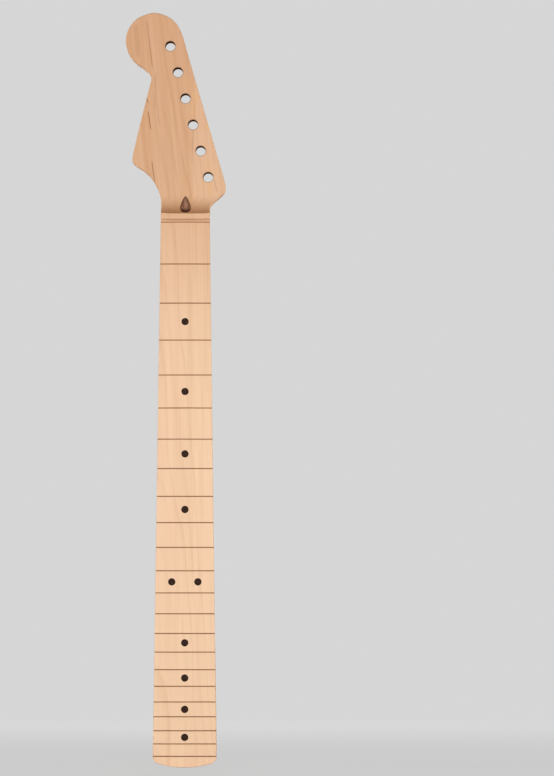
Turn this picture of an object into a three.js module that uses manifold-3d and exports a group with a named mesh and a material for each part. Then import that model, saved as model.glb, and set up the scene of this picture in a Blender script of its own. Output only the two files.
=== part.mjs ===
import * as THREE from 'three';
import { mergeVertices } from 'three/addons/utils/BufferGeometryUtils.js';
import Module from 'manifold-3d';

// A left-handed, one-piece maple guitar neck with its truss rod, in millimetres.
// +Z runs up the neck to the headstock, -Y is the fingerboard side, +X the side of the tuner holes.
// The origin is on the flat back of the heel, in the middle of the four bolt holes.

const wasm = await Module();
wasm.setup();

// Scale, frets and nut
const scaleLength = 647.7;
const fretSlotCount = 22;
const fretsPerOctave = 12;
const fretSlotWidth = 0.58;
const fretSlotDepth = 2.2;
const nutSlotWidth = 3.3;
const nutSlotDepth = 3.2;
const lastFretToNeckEnd = 9.655;
const boltCentreToNeckEnd = 47.6;

// Neck shaft
const blankThickness = 25.4;
const nutWidth = 42.9;
const neckEndWidth = 55.6;
const crownRadiusAtNut = 254;
const crownRadiusAtEnd = 406;
const firstFretThickness = 20.8;
const twelfthFretThickness = 22.2;
const sideWallHeight = 5;
const backRoundness = 2.2;

// Heel
const heelFlatTopMiddle = 53;
const heelFlatTopEdge = 39;
const heelSweepLength = 46;
const overhangLength = 6.6;
const overhangThickness = 6.35;
const endArcRadius = 86;
const endCornerRadius = 6.5;
const blockCornerRadius = 5;
const boltSpacingAcross = 38.1;
const boltSpacingAlong = 50.8;
const boltHoleDiameter = 3.4;
const boltHoleDepth = 19;

// Headstock, with its ramp at the front and the line where the back runs out flat
const headLength = 186.2;
const headReachLeft = 52.7;
const headReachRight = 35.2;
const headThickness = 14.3;
const shelfLength = 8.05;
const rampRadius = 22;
const throatWallHeight = 6.3;
const throatWallStart = 12;
const throatWallEnd = 18;
const throatSweepLength = 24;
const tunerHoleCount = 6;
const tunerHoleDiameter = 8.73;

// The first and last tuner holes are shares of the headstock's length and of its reach to the right.
const firstTunerShares = [0.2205, 0.5653];
const lastTunerShares = [0.8415, -0.3828];

// Each outline point is a share of the headstock's length and of its reach to that side.
const headLeftShares = [
  [0.1, -0.405],
  [0.135, -0.424],
  [0.178, -0.486],
  [0.221, -0.582],
  [0.25, -0.691],
  [0.278, -0.84],
  [0.293, -0.882],
  [0.309, -0.886],
  [0.33, -0.874],
  [0.46, -0.769],
  [0.602, -0.644],
  [0.655, -0.597],
  [0.685, -0.574],
  [0.71, -0.597],
  [0.736, -0.695],
  [0.76, -0.815],
  [0.794, -0.923],
  [0.827, -0.977],
  [0.866, -1],
  [0.905, -0.979],
  [0.94, -0.917],
  [0.972, -0.81],
  [0.9935, -0.65],
  [1, -0.5235],
  [0.9935, -0.399],
  [0.972, -0.241],
];
const headRightShares = [
  [0.938, -0.193],
  [0.897, -0.091],
  [0.854, -0.021],
  [0.806, 0.05],
  [0.242, 0.913],
  [0.209, 0.963],
  [0.183, 0.997],
  [0.164, 1],
  [0.147, 0.969],
  [0.121, 0.833],
  [0.0924, 0.664],
  [0.0725, 0.616],
];
// The line where the headstock's flat back begins, from the left corner to the right one.
const flatLineLeftShares = [
  [0.29, -0.868],
  [0.221, -0.505],
  [0.15, -0.254],
  [0.082, -0.124],
];
const flatLineRightShares = [
  [0.054, 0.045],
  [0.065, 0.295],
  [0.0785, 0.44],
  [0.126, 0.852],
  [0.164, 1],
];

// Walnut, dots and their seats
const seatGap = 0.3;
const plugDiameter = 9.5;
const plugToNutSlot = 1.7;
const plugAboveFace = 0.2;
const dotDiameter = 6.35;
const dotThickness = 2;
const dotPairSpacing = 22.8;
const sideDotDiameter = 2.4;
const sideDotLength = 3;
const sideDotDepth = 2.9;
const sideDotPairSpacing = 10;
const singleDotFrets = [3, 5, 7, 9, 15, 17, 19, 21];
const doubleDotFret = 12;

// Truss rod and its channel
const channelWidth = 6.35;
const channelStart = 41;
const stripeEndAboveBolts = 27.8;
const channelDepth = 18.6;
const barThickness = 3;
const barToRod = 1;
const rodDiameter = 4.83;
const rodThreadPitch = 0.8;
const rodThreadDepth = 0.35;
const rodThreadTurns = 9;
const rodThreadRootShare = 0.8;
const rodThreadTipShare = 0.25;
const blockLength = 12;
const journalDiameter = 2.4;

// Side adjuster: a worm turns a wheel on the rod inside a steel barrel
const adjusterAboveBolts = 22.4;
const barrelDiameter = 8.8;
const barrelRecess = 0.3;
const barrelTipWall = 1;
const wheelToothCount = 12;
const wheelPitchRadius = 2.7;
const wheelThickness = 2.8;
const wormPitchRadius = 1.8;
const toothAddendum = 0.35;
const toothDedendum = 0.6;
const toothPitchThickness = 0.5;
const toothTipThickness = 0.3;
const wormTurns = 4;
const wormHeadDiameter = 5.6;
const wormHeadLength = 4.7;
const wormCollarDiameter = 4.3;
const wormTailDiameter = 2;
const keySocketSides = 6;
const keySocketWidth = 3;
const keySocketDepth = 3.2;
const keyHoleDiameter = 6.35;

// Cuts run past the surfaces by this much, and one solid sinks into the other by the second value.
const overrun = 3;
const sink = 0.25;

// Facet counts
const crownSteps = 6;
const curveSteps = 7;
const outlineSamples = 900;
const heelRows = 12;
const shaftRows = 4;
const throatRows = 28;
const rampRows = 7;
const headRows = 36;
const headRowEasing = 1.7;
const largeHoleSides = 24;
const smallHoleSides = 12;
const roundSides = 20;
const arcSides = 7;
const threadStepsPerTurn = 10;
const wheelSteps = 2;

// Values worked out from the sizes above
const halfTurn = Math.PI;
const quarterTurn = halfTurn / 2;
const fullTurn = halfTurn * 2;
const nutToNeckEnd = fretDistance(fretSlotCount) + lastFretToNeckEnd;
const neckEndZ = -boltCentreToNeckEnd;
const nutZ = neckEndZ + nutToNeckEnd;
const blockEndZ = neckEndZ + overhangLength;
const crownY = -blankThickness;
const headFaceY = -headThickness;
const headDrop = blankThickness - headThickness;
const shelfEndZ = nutZ + shelfLength;
const rampRun = Math.sqrt(2 * rampRadius * headDrop - headDrop ** 2);
const rampEndZ = shelfEndZ + rampRun;
const channelTopZ = nutZ - channelStart;
const channelFloorY = -channelDepth;
const barY = channelFloorY + seatGap + barThickness / 2;
const rodY = barY + barThickness / 2 + barToRod + rodDiameter / 2;
const blockTopY = rodY + rodDiameter / 2 + seatGap + sink;
const stripeFloorY = blockTopY + seatGap;
const innerWidth = channelWidth - 2 * seatGap;
const barrelZ = adjusterAboveBolts;
const wormY = rodY - wheelPitchRadius - wormPitchRadius;
const wormTipRadius = wormPitchRadius + toothAddendum;
const wormBoreRadius = wormTipRadius + seatGap;
const barrelFloorY = wormY - wormBoreRadius - barrelTipWall;
const wormPitch = fullTurn * wheelPitchRadius / wheelToothCount;
const wormLead = wormPitch / (fullTurn * wormPitchRadius);
const headBlockZ = channelTopZ - channelWidth / 2 - seatGap - blockLength / 2;
const heelBlockZ = stripeEndAboveBolts + seatGap + blockLength / 2;

const { lerp, clamp, smoothstep } = THREE.MathUtils;

// Materials
function finish(color, roughness, metalness = 0) {
  return new THREE.MeshStandardMaterial({ color, roughness, metalness });
}
const maple = finish('#e4bd94', 0.6);
const walnut = finish('#9a6c4c', 0.6);
const blackDot = finish('#17110e', 0.4);
const steel = finish('#9a948c', 0.35, 1);
const blackSteel = finish('#3a3836', 0.45, 1);
const brass = finish('#b08d4a', 0.35, 1);

// A closed mesh becomes a solid that can be joined and cut, and turns back into a mesh at the end.
function solidOf(geometry) {
  const bare = geometry.clone();
  bare.deleteAttribute('normal');
  bare.deleteAttribute('uv');
  const merged = mergeVertices(bare);
  const corners = Array.from(merged.index.array);
  const triangles = [];
  for (let i = 0; i < corners.length; i += 3) {
    const [a, b, c] = corners.slice(i, i + 3);
    if (a !== b && b !== c && c !== a) {
      triangles.push(a, b, c);
    }
  }
  const vertProperties = new Float32Array(merged.attributes.position.array);
  const triVerts = new Uint32Array(triangles);
  return new wasm.Manifold(new wasm.Mesh({ numProp: 3, vertProperties, triVerts }));
}

function geometryOf(solid) {
  const mesh = solid.getMesh();
  const geometry = new THREE.BufferGeometry();
  geometry.setAttribute('position', new THREE.BufferAttribute(mesh.vertProperties, 3));
  geometry.setIndex(new THREE.BufferAttribute(mesh.triVerts, 1));
  geometry.computeVertexNormals();
  return geometry;
}

function joined(solids) {
  return solids.reduce((sum, next) => sum.add(next));
}

function spread(from, to, count, easing = (share) => share) {
  return Array.from({ length: count + 1 }, (_, i) => lerp(from, to, easing(i / count)));
}

// Round and square tools for cuts, each placed by its own centre
function rodAlongZ(radius, x, y, fromZ, toZ, sides) {
  const geometry = new THREE.CylinderGeometry(radius, radius, toZ - fromZ, sides);
  geometry.rotateX(quarterTurn);
  return solidOf(geometry.translate(x, y, (fromZ + toZ) / 2));
}

function rodAlongY(radius, x, z, fromY, toY, sides) {
  const geometry = new THREE.CylinderGeometry(radius, radius, toY - fromY, sides);
  return solidOf(geometry.translate(x, (fromY + toY) / 2, z));
}

function rodAlongX(radius, y, z, fromX, toX, sides) {
  const geometry = new THREE.CylinderGeometry(radius, radius, toX - fromX, sides);
  geometry.rotateZ(quarterTurn);
  return solidOf(geometry.translate((fromX + toX) / 2, y, z));
}

function block(width, fromY, toY, fromZ, toZ) {
  const geometry = new THREE.BoxGeometry(width, toY - fromY, toZ - fromZ);
  return solidOf(geometry.translate(0, (fromY + toY) / 2, (fromZ + toZ) / 2));
}

// A shape drawn in X and Z, carried from one depth to another
function prism(shape, fromY, toY) {
  const depth = toY - fromY;
  const geometry = new THREE.ExtrudeGeometry(shape, { depth, bevelEnabled: false, curveSegments: arcSides });
  geometry.rotateX(quarterTurn);
  return solidOf(geometry.translate(0, toY, 0));
}

// Lines that the neck's surfaces follow, as lists of points sampled on a smooth curve
function smoothLine(points) {
  const curve = new THREE.CatmullRomCurve3(points, false, 'centripetal');
  return curve.getPoints(outlineSamples);
}

function valueAt(line, key, along, across) {
  const next = line.findIndex((point, i) => i > 0 && key <= point[along]);
  if (next < 0) {
    return line.at(-1)[across];
  }
  const before = line[next - 1];
  const after = line[next];
  const share = (key - before[along]) / (after[along] - before[along]);
  return lerp(before[across], after[across], clamp(share, 0, 1));
}

function headPoints(shares, reach) {
  return shares.map(([up, out]) => new THREE.Vector3(out * reach, up * headLength, 0));
}

function headOutline() {
  const neckEdge = nutWidth / 2;
  const points = [
    new THREE.Vector3(-neckEdge, 0, 0),
    new THREE.Vector3(-neckEdge, shelfLength, 0),
    ...headPoints(headLeftShares, headReachLeft),
    ...headPoints(headRightShares, headReachRight),
    new THREE.Vector3(neckEdge, shelfLength, 0),
    new THREE.Vector3(neckEdge, 0, 0),
  ];
  const line = smoothLine(points);
  const tip = line.reduce((best, point, i) => (point.y > line[best].y ? i : best), 0);
  return { left: line.slice(0, tip + 1), right: line.slice(tip).reverse(), top: line[tip].y };
}

function flatBackLine() {
  const points = [
    ...headPoints(flatLineLeftShares, headReachLeft),
    ...headPoints(flatLineRightShares, headReachRight),
  ];
  const line = smoothLine(points);
  const low = line.reduce((best, point, i) => (point.y < line[best].y ? i : best), 0);
  return { across: line, left: line.slice(0, low + 1).reverse(), right: line.slice(low), lowest: line[low] };
}

const outline = headOutline();
const flatLine = flatBackLine();
const throatStartZ = nutZ + flatLine.lowest.y - throatSweepLength;
const throatEndZ = nutZ + Math.max(flatLine.left.at(-1).y, flatLine.right.at(-1).y);
const headTopZ = nutZ + outline.top;

function fretDistance(fret) {
  return scaleLength * (1 - 2 ** (-fret / fretsPerOctave));
}

function midFretZ(fret) {
  return nutZ - (fretDistance(fret - 1) + fretDistance(fret)) / 2;
}

function shaftHalfWidth(z) {
  return lerp(nutWidth, neckEndWidth, (nutZ - z) / nutToNeckEnd) / 2;
}

function edgesAt(z) {
  if (z <= nutZ) {
    const half = shaftHalfWidth(z);
    return [-half, half];
  }
  const height = z - nutZ;
  return [valueAt(outline.left, height, 'y', 'x'), valueAt(outline.right, height, 'y', 'x')];
}

// Front: a crowned fingerboard, a shelf behind the nut, a hollow ramp and the flat headstock face
function crownRadiusAt(z) {
  const share = Math.max((nutZ - z) / nutToNeckEnd, 0);
  return lerp(crownRadiusAtNut, crownRadiusAtEnd, share);
}

function crownDepth(x, z) {
  const radius = crownRadiusAt(z);
  return crownY + radius - Math.sqrt(radius ** 2 - x ** 2);
}

function frontDepth(x, z) {
  const crown = crownDepth(x, z);
  if (z <= shelfEndZ) {
    return crown;
  }
  const toEnd = Math.max(rampEndZ - z, 0);
  const ramp = headFaceY - rampRadius + Math.sqrt(rampRadius ** 2 - toEnd ** 2);
  return Math.max(crown, ramp);
}

// Back: a rounded shaft that sweeps out to the flat heel at one end and to the flat headstock at the other
function shaftThickness(z) {
  const first = fretDistance(1);
  const share = (nutZ - z - first) / (fretDistance(fretsPerOctave) - first);
  return lerp(firstFretThickness, twelfthFretThickness, share);
}

function heelFlatTop(x, half) {
  return lerp(heelFlatTopMiddle, heelFlatTopEdge, (x / half) ** 2);
}

function sweepShare(x, z, half) {
  if (z < throatStartZ) {
    return clamp(1 - (z - heelFlatTop(x, half)) / heelSweepLength, 0, 1);
  }
  const flatStart = nutZ + valueAt(flatLine.across, x, 'x', 'y');
  return clamp(1 - (flatStart - z) / throatSweepLength, 0, 1);
}

function backDepth(x, z, left, right) {
  const half = (right - left) / 2;
  const across = half > 0 ? clamp(Math.abs(x - (left + right) / 2) / half, 0, 1) : 0;
  const throat = smoothstep(z, nutZ - throatWallStart, nutZ + throatWallEnd);
  const wall = lerp(crownY + sideWallHeight, headFaceY + throatWallHeight, throat);
  const middle = crownY + shaftThickness(Math.min(z, nutZ));
  const rounding = (1 - across ** backRoundness) ** (1 / backRoundness);
  return lerp(wall, middle, rounding) * (1 - sweepShare(x, z, half) ** 2);
}

// The part of a row, from left to right, that lies on the flat back
function flatSpan(z, left, right) {
  if (z <= heelFlatTopEdge) {
    return [left, right];
  }
  if (z < heelFlatTopMiddle) {
    const rise = (heelFlatTopMiddle - z) / (heelFlatTopMiddle - heelFlatTopEdge);
    const span = Math.sqrt(rise) * shaftHalfWidth(z);
    return [-span, span];
  }
  const height = z - nutZ;
  if (height <= 0) {
    return [0, 0];
  }
  if (height <= flatLine.lowest.y) {
    return [flatLine.lowest.x, flatLine.lowest.x];
  }
  const fromLeft = height < flatLine.left.at(-1).y ? valueAt(flatLine.left, height, 'y', 'x') : left;
  const fromRight = height < flatLine.right.at(-1).y ? valueAt(flatLine.right, height, 'y', 'x') : right;
  return [Math.max(left, fromLeft), Math.min(right, fromRight)];
}

function rowPoints(z) {
  const [left, right] = edgesAt(z);
  const [flatLeft, flatRight] = flatSpan(z, left, right);
  const easing = (share) => 1 - Math.cos(share * quarterTurn);
  const front = spread(left, right, crownSteps).map((x) => [x, frontDepth(x, z)]);
  const backRight = spread(right, flatRight, curveSteps, easing);
  const backLeft = spread(left, flatLeft, curveSteps, easing).reverse();
  const back = [...backRight, ...backLeft].map((x) => [x, backDepth(x, z, left, right)]);
  return [...front, ...back];
}

function rowHeights() {
  const heelTop = heelFlatTopMiddle + heelSweepLength;
  const headEasing = (share) => 1 - (1 - share) ** headRowEasing;
  const rampSweep = Math.asin(rampRun / rampRadius);
  const heights = [
    neckEndZ - overrun,
    ...spread(heelFlatTopEdge, heelTop, heelRows),
    ...spread(heelTop, throatStartZ, shaftRows),
    ...spread(throatStartZ, throatEndZ, throatRows),
    ...spread(rampSweep, 0, rampRows).map((angle) => rampEndZ - rampRadius * Math.sin(angle)),
    ...spread(throatEndZ, headTopZ, headRows, headEasing),
  ];
  heights.sort((a, b) => a - b);
  return heights.filter((z, i) => i === 0 || z - heights[i - 1] > sink || i === heights.length - 1);
}

// The rows are skinned into one closed body.
function skinned(rows) {
  const size = rows[0].points.length;
  const positions = rows.flatMap(({ z, points }) => points.flatMap(([x, y]) => [x, y, z]));
  const index = [];
  for (let row = 0; row < rows.length - 1; row += 1) {
    for (let i = 0; i < size; i += 1) {
      const a = row * size + i;
      const b = row * size + (i + 1) % size;
      index.push(a, b, b + size, a, b + size, a + size);
    }
  }
  const last = (rows.length - 1) * size;
  for (let i = 1; i < size - 1; i += 1) {
    index.push(0, i + 1, i);
    index.push(last, last + i, last + i + 1);
  }
  const geometry = new THREE.BufferGeometry();
  geometry.setAttribute('position', new THREE.Float32BufferAttribute(positions, 3));
  geometry.setIndex(index);
  return geometry;
}

// The curved end of the neck: a long arc with a rounded corner on each side
function endShape(endZ, cornerRadius) {
  const half = shaftHalfWidth(endZ + cornerRadius);
  const wide = headReachLeft + headReachRight;
  const arcZ = endZ + endArcRadius;
  const cornerX = half - cornerRadius;
  const cornerZ = arcZ - Math.sqrt((endArcRadius - cornerRadius) ** 2 - cornerX ** 2);
  const meet = Math.atan2(cornerZ - arcZ, cornerX);
  const shape = new THREE.Shape();
  shape.moveTo(-wide, headTopZ + overrun);
  shape.lineTo(-wide, cornerZ);
  shape.lineTo(-half, cornerZ);
  shape.absarc(-cornerX, cornerZ, cornerRadius, halfTurn, halfTurn - meet, false);
  shape.absarc(0, arcZ, endArcRadius, halfTurn - meet, fullTurn + meet, false);
  shape.absarc(cornerX, cornerZ, cornerRadius, fullTurn + meet, fullTurn, false);
  shape.lineTo(wide, cornerZ);
  shape.lineTo(wide, headTopZ + overrun);
  return shape;
}

function neckBlank() {
  const rows = rowHeights().map((z) => ({ z, points: rowPoints(z) }));
  const whole = solidOf(skinned(rows));
  const ended = whole.intersect(prism(endShape(neckEndZ, endCornerRadius), crownY - overrun, overrun));
  const underside = crownY + overhangThickness;
  const wide = 2 * neckEndWidth;
  const below = block(wide, underside, overrun, neckEndZ - overrun, blockEndZ + endCornerRadius + overrun);
  const keep = prism(endShape(blockEndZ, blockCornerRadius), underside - overrun, 2 * overrun);
  return ended.subtract(below.subtract(keep));
}

// Cuts in the fingerboard
function fretSlot(fret) {
  const z = nutZ - fretDistance(fret);
  const half = shaftHalfWidth(z) + overrun;
  const floor = spread(-half, half, crownSteps).map((x) => [x, crownDepth(x, z) + fretSlotDepth]);
  const points = [[half, crownY - overrun], [-half, crownY - overrun], ...floor];
  const shape = new THREE.Shape(points.map(([x, y]) => new THREE.Vector2(x, y)));
  const geometry = new THREE.ExtrudeGeometry(shape, { depth: fretSlotWidth, bevelEnabled: false });
  return solidOf(geometry.translate(0, 0, z - fretSlotWidth / 2));
}

function nutSlot() {
  const width = nutWidth + 2 * overrun;
  return block(width, crownY - overrun, crownY + nutSlotDepth, nutZ, nutZ + nutSlotWidth);
}

function tunerHoles() {
  const [first, last] = headPoints([firstTunerShares, lastTunerShares], headReachRight);
  return spread(0, 1, tunerHoleCount - 1).map((share) => {
    const { x, y } = first.clone().lerp(last, share);
    return rodAlongY(tunerHoleDiameter / 2, x, nutZ + y, headFaceY - overrun, overrun, largeHoleSides);
  });
}

function boltHoles() {
  const places = [-1, 1].flatMap((side) => [-1, 1].map((end) => [side, end]));
  return places.map(([side, end]) => rodAlongY(
    boltHoleDiameter / 2,
    side * boltSpacingAcross / 2,
    end * boltSpacingAlong / 2,
    -boltHoleDepth,
    overrun,
    smallHoleSides,
  ));
}

// The rod channel in the back, closed by the walnut stripe
function channelShape(fromZ, toZ, width) {
  const half = width / 2;
  const shape = new THREE.Shape();
  shape.moveTo(-half, fromZ);
  shape.lineTo(half, fromZ);
  shape.lineTo(half, toZ - half);
  shape.absarc(0, toZ - half, half, 0, halfTurn, false);
  shape.lineTo(-half, fromZ);
  return shape;
}

function rodChannel() {
  return prism(channelShape(barrelZ, channelTopZ, channelWidth), channelFloorY, overrun);
}

function backStripe(blank) {
  const shape = channelShape(stripeEndAboveBolts, channelTopZ - seatGap, innerWidth);
  return prism(shape, stripeFloorY, overrun).intersect(blank);
}

function adjusterPocket() {
  return rodAlongY(barrelDiameter / 2 + seatGap, 0, barrelZ, barrelFloorY - seatGap, overrun, largeHoleSides);
}

function keyHole() {
  const edge = -shaftHalfWidth(barrelZ) - overrun;
  return rodAlongX(keyHoleDiameter / 2, wormY, barrelZ, edge, 0, roundSides);
}

// Walnut plug that comes out on the ramp
function plugSolid(gap) {
  const y = headFaceY - plugAboveFace - plugDiameter / 2;
  const fromZ = nutZ + nutSlotWidth + plugToNutSlot;
  return rodAlongZ(plugDiameter / 2 - gap, 0, y, fromZ + gap, rampEndZ + overrun, largeHoleSides);
}

// Position dots on the face and on the bass side
function dotPlaces() {
  const singles = singleDotFrets.map((fret) => ({ name: `face_dot_fret_${fret}`, x: 0, z: midFretZ(fret) }));
  const pair = [['left', -1], ['right', 1]].map(([word, side]) => ({
    name: `face_dot_fret_${doubleDotFret}_${word}`,
    x: side * dotPairSpacing / 2,
    z: midFretZ(doubleDotFret),
  }));
  return [...singles, ...pair];
}

function sideDotPlaces() {
  const singles = singleDotFrets.map((fret) => ({ name: `side_dot_fret_${fret}`, z: midFretZ(fret) }));
  const pair = [['lower', -1], ['upper', 1]].map(([word, end]) => ({
    name: `side_dot_fret_${doubleDotFret}_${word}`,
    z: midFretZ(doubleDotFret) + end * sideDotPairSpacing / 2,
  }));
  return [...singles, ...pair];
}

function faceDotSolid({ x, z }, gap) {
  const radius = dotDiameter / 2 + gap;
  return rodAlongY(radius, x, z, crownY - overrun, crownDepth(x, z) + dotThickness + gap, roundSides);
}

function sideDotSolid({ z }, gap) {
  const edge = shaftHalfWidth(z);
  const radius = sideDotDiameter / 2 + gap;
  const inner = edge - sideDotLength - gap;
  return rodAlongX(radius, crownY + sideDotDepth, z, inner, edge + overrun, smallHoleSides);
}

function mapleNeck(blank) {
  const frets = Array.from({ length: fretSlotCount }, (_, i) => fretSlot(i + 1));
  const cuts = [
    ...frets,
    nutSlot(),
    ...tunerHoles(),
    ...boltHoles(),
    rodChannel(),
    adjusterPocket(),
    keyHole(),
    plugSolid(0),
    ...dotPlaces().map((place) => faceDotSolid(place, seatGap)),
    ...sideDotPlaces().map((place) => sideDotSolid(place, seatGap)),
  ];
  return blank.subtract(joined(cuts));
}

// A ridge that winds round Z, centred on zero: right-handed when hand is 1, left-handed when it is -1
function threadRidge({ rootRadius, tipRadius, rootWidth, tipWidth, pitch, turns, hand }) {
  const steps = turns * threadStepsPerTurn;
  const inner = rootRadius - sink;
  const section = [
    [inner, -rootWidth / 2],
    [tipRadius, -tipWidth / 2],
    [tipRadius, tipWidth / 2],
    [inner, rootWidth / 2],
  ];
  const positions = [];
  for (const turn of spread(-turns / 2, turns / 2, steps)) {
    const angle = hand * turn * fullTurn;
    for (const [radius, offset] of section) {
      positions.push(radius * Math.cos(angle), radius * Math.sin(angle), turn * pitch + offset);
    }
  }
  const size = section.length;
  const index = [];
  const face = (a, b, c) => index.push(...(hand > 0 ? [a, b, c] : [a, c, b]));
  for (let step = 0; step < steps; step += 1) {
    for (let i = 0; i < size; i += 1) {
      const a = step * size + i;
      const b = step * size + (i + 1) % size;
      face(a, b + size, b);
      face(a, a + size, b + size);
    }
  }
  const last = steps * size;
  face(0, 1, 2);
  face(0, 2, 3);
  face(last, last + 2, last + 1);
  face(last, last + 3, last + 2);
  const geometry = new THREE.BufferGeometry();
  geometry.setAttribute('position', new THREE.Float32BufferAttribute(positions, 3));
  geometry.setIndex(index);
  return geometry;
}

// A turned piece round Z, from a list of radius and height steps that starts and ends on the axis
function turned(profile) {
  const points = profile.map(([radius, height]) => new THREE.Vector2(radius, height));
  const geometry = new THREE.LatheGeometry(points, roundSides);
  geometry.rotateX(quarterTurn);
  return geometry;
}

function adjustingRod() {
  const core = rodDiameter / 2 - rodThreadDepth;
  const shoulder = barrelZ + barrelDiameter / 2 + 2 * seatGap;
  const bottom = barrelZ - barrelDiameter / 2 + seatGap;
  const top = headBlockZ + blockLength / 2;
  const shaft = solidOf(turned([
    [0, bottom],
    [journalDiameter / 2, bottom],
    [journalDiameter / 2, shoulder],
    [core, shoulder],
    [core, top],
    [0, top],
  ]));
  const thread = (z, hand) => solidOf(threadRidge({
    rootRadius: core,
    tipRadius: rodDiameter / 2,
    rootWidth: rodThreadPitch * rodThreadRootShare,
    tipWidth: rodThreadPitch * rodThreadTipShare,
    pitch: rodThreadPitch,
    turns: rodThreadTurns,
    hand,
  }).translate(0, 0, z));
  return shaft.add(thread(headBlockZ, -1)).add(thread(heelBlockZ, 1));
}

function threadedBlock(z) {
  const half = blockLength / 2;
  const reach = half + overrun;
  const body = block(innerWidth, channelFloorY + seatGap, blockTopY, z - half, z + half);
  return body.subtract(rodAlongZ(rodDiameter / 2 + seatGap, 0, rodY, z - reach, z + reach, roundSides));
}

function rodBar() {
  const fromZ = heelBlockZ + blockLength / 2 + seatGap;
  const toZ = headBlockZ - blockLength / 2 - seatGap;
  return block(innerWidth, barY - barThickness / 2, barY + barThickness / 2, fromZ, toZ);
}

// The wheel's teeth lean by the lead of the worm's thread.
function adjusterWheel() {
  const tip = wheelPitchRadius + toothAddendum;
  const root = wheelPitchRadius - toothDedendum;
  const rootThickness = 2 * toothPitchThickness - toothTipThickness;
  const points = [];
  for (let tooth = 0; tooth < wheelToothCount; tooth += 1) {
    const middle = tooth * fullTurn / wheelToothCount - quarterTurn;
    const rootHalf = rootThickness / root / 2;
    const tipHalf = toothTipThickness / tip / 2;
    const corners = [[root, -rootHalf], [tip, -tipHalf], [tip, tipHalf], [root, rootHalf]];
    for (const [radius, angle] of corners) {
      points.push(new THREE.Vector2(
        radius * Math.cos(middle + angle),
        radius * Math.sin(middle + angle),
      ));
    }
  }
  const shape = new THREE.Shape(points);
  const bore = new THREE.Path();
  bore.absarc(0, 0, journalDiameter / 2 + seatGap, 0, fullTurn, false);
  shape.holes.push(bore);
  const geometry = new THREE.ExtrudeGeometry(shape, {
    depth: wheelThickness,
    steps: wheelSteps,
    bevelEnabled: false,
    curveSegments: smallHoleSides,
  });
  geometry.translate(0, 0, -wheelThickness / 2);
  const place = geometry.attributes.position;
  const point = new THREE.Vector3();
  const axis = new THREE.Vector3(0, 0, 1);
  for (let i = 0; i < place.count; i += 1) {
    point.fromBufferAttribute(place, i);
    point.applyAxisAngle(axis, point.z * wormLead / wheelPitchRadius);
    place.setXYZ(i, point.x, point.y, point.z);
  }
  return solidOf(geometry);
}

// The worm lies along X: its head with the key socket is at the low end, its tail at the high end.
function adjusterWorm() {
  const core = wormPitchRadius - toothDedendum;
  const barrelRadius = barrelDiameter / 2;
  const headStart = -barrelRadius - 2 * seatGap - wormHeadLength;
  const headEnd = headStart + wormHeadLength;
  const threadEnd = wormTurns * wormPitch / 2 + seatGap;
  const body = turned([
    [0, headStart],
    [wormHeadDiameter / 2, headStart],
    [wormHeadDiameter / 2, headEnd],
    [wormCollarDiameter / 2, headEnd],
    [wormCollarDiameter / 2, -threadEnd],
    [core, -threadEnd],
    [core, threadEnd],
    [wormTailDiameter / 2, threadEnd],
    [wormTailDiameter / 2, barrelRadius],
    [0, barrelRadius],
  ]);
  const ridge = threadRidge({
    rootRadius: core,
    tipRadius: wormTipRadius,
    rootWidth: 2 * toothPitchThickness - toothTipThickness,
    tipWidth: toothTipThickness,
    pitch: wormPitch,
    turns: wormTurns,
    hand: 1,
  });
  const socketRadius = keySocketWidth / 2 / Math.cos(halfTurn / keySocketSides);
  const socket = new THREE.CylinderGeometry(socketRadius, socketRadius, 2 * keySocketDepth, keySocketSides);
  socket.rotateX(quarterTurn);
  socket.translate(0, 0, headStart);
  return solidOf(body).add(solidOf(ridge)).subtract(solidOf(socket));
}

function adjusterHousing() {
  const radius = barrelDiameter / 2;
  const slotHalf = wheelPitchRadius + toothAddendum + seatGap;
  const wheelHalf = wheelThickness / 2 + seatGap;
  const reach = radius + overrun;
  const barrel = rodAlongY(radius, 0, barrelZ, barrelFloorY, -barrelRecess, largeHoleSides);
  const openY = barrelFloorY - overrun;
  const slot = block(2 * slotHalf, openY, rodY + slotHalf, barrelZ - wheelHalf, barrelZ + wheelHalf);
  const rodBoreRadius = journalDiameter / 2 + seatGap;
  const rodBore = rodAlongZ(rodBoreRadius, 0, rodY, barrelZ - reach, barrelZ + reach, roundSides);
  const wormBore = rodAlongX(wormBoreRadius, wormY, barrelZ, -reach, slotHalf, roundSides);
  const tailBore = rodAlongX(wormTailDiameter / 2 + seatGap, wormY, barrelZ, 0, reach, roundSides);
  return barrel.subtract(joined([slot, rodBore, wormBore, tailBore]));
}

// The scene: one group for what is fixed, one for each piece that turns
function named(name, solid, material) {
  const mesh = new THREE.Mesh(geometryOf(solid), material);
  mesh.name = name;
  return mesh;
}

const blank = neckBlank();
const neck = new THREE.Group();
neck.add(
  named('maple_neck', mapleNeck(blank), maple),
  named('back_stripe', backStripe(blank), walnut),
  named('headstock_plug', plugSolid(seatGap).intersect(blank), walnut),
  named('rod_bar', rodBar(), steel),
  named('rod_head_block', threadedBlock(headBlockZ), steel),
  named('rod_heel_block', threadedBlock(heelBlockZ), steel),
  named('adjuster_housing', adjusterHousing(), steel),
);
for (const place of dotPlaces()) {
  neck.add(named(place.name, faceDotSolid(place, 0).intersect(blank), blackDot));
}
for (const place of sideDotPlaces()) {
  neck.add(named(place.name, sideDotSolid(place, 0).intersect(blank), blackDot));
}

const rod = new THREE.Group();
rod.position.set(0, rodY, 0);
const wheel = named('adjuster_wheel', adjusterWheel(), brass);
wheel.position.set(0, 0, barrelZ);
rod.add(named('adjusting_rod', adjustingRod(), blackSteel), wheel);

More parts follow.
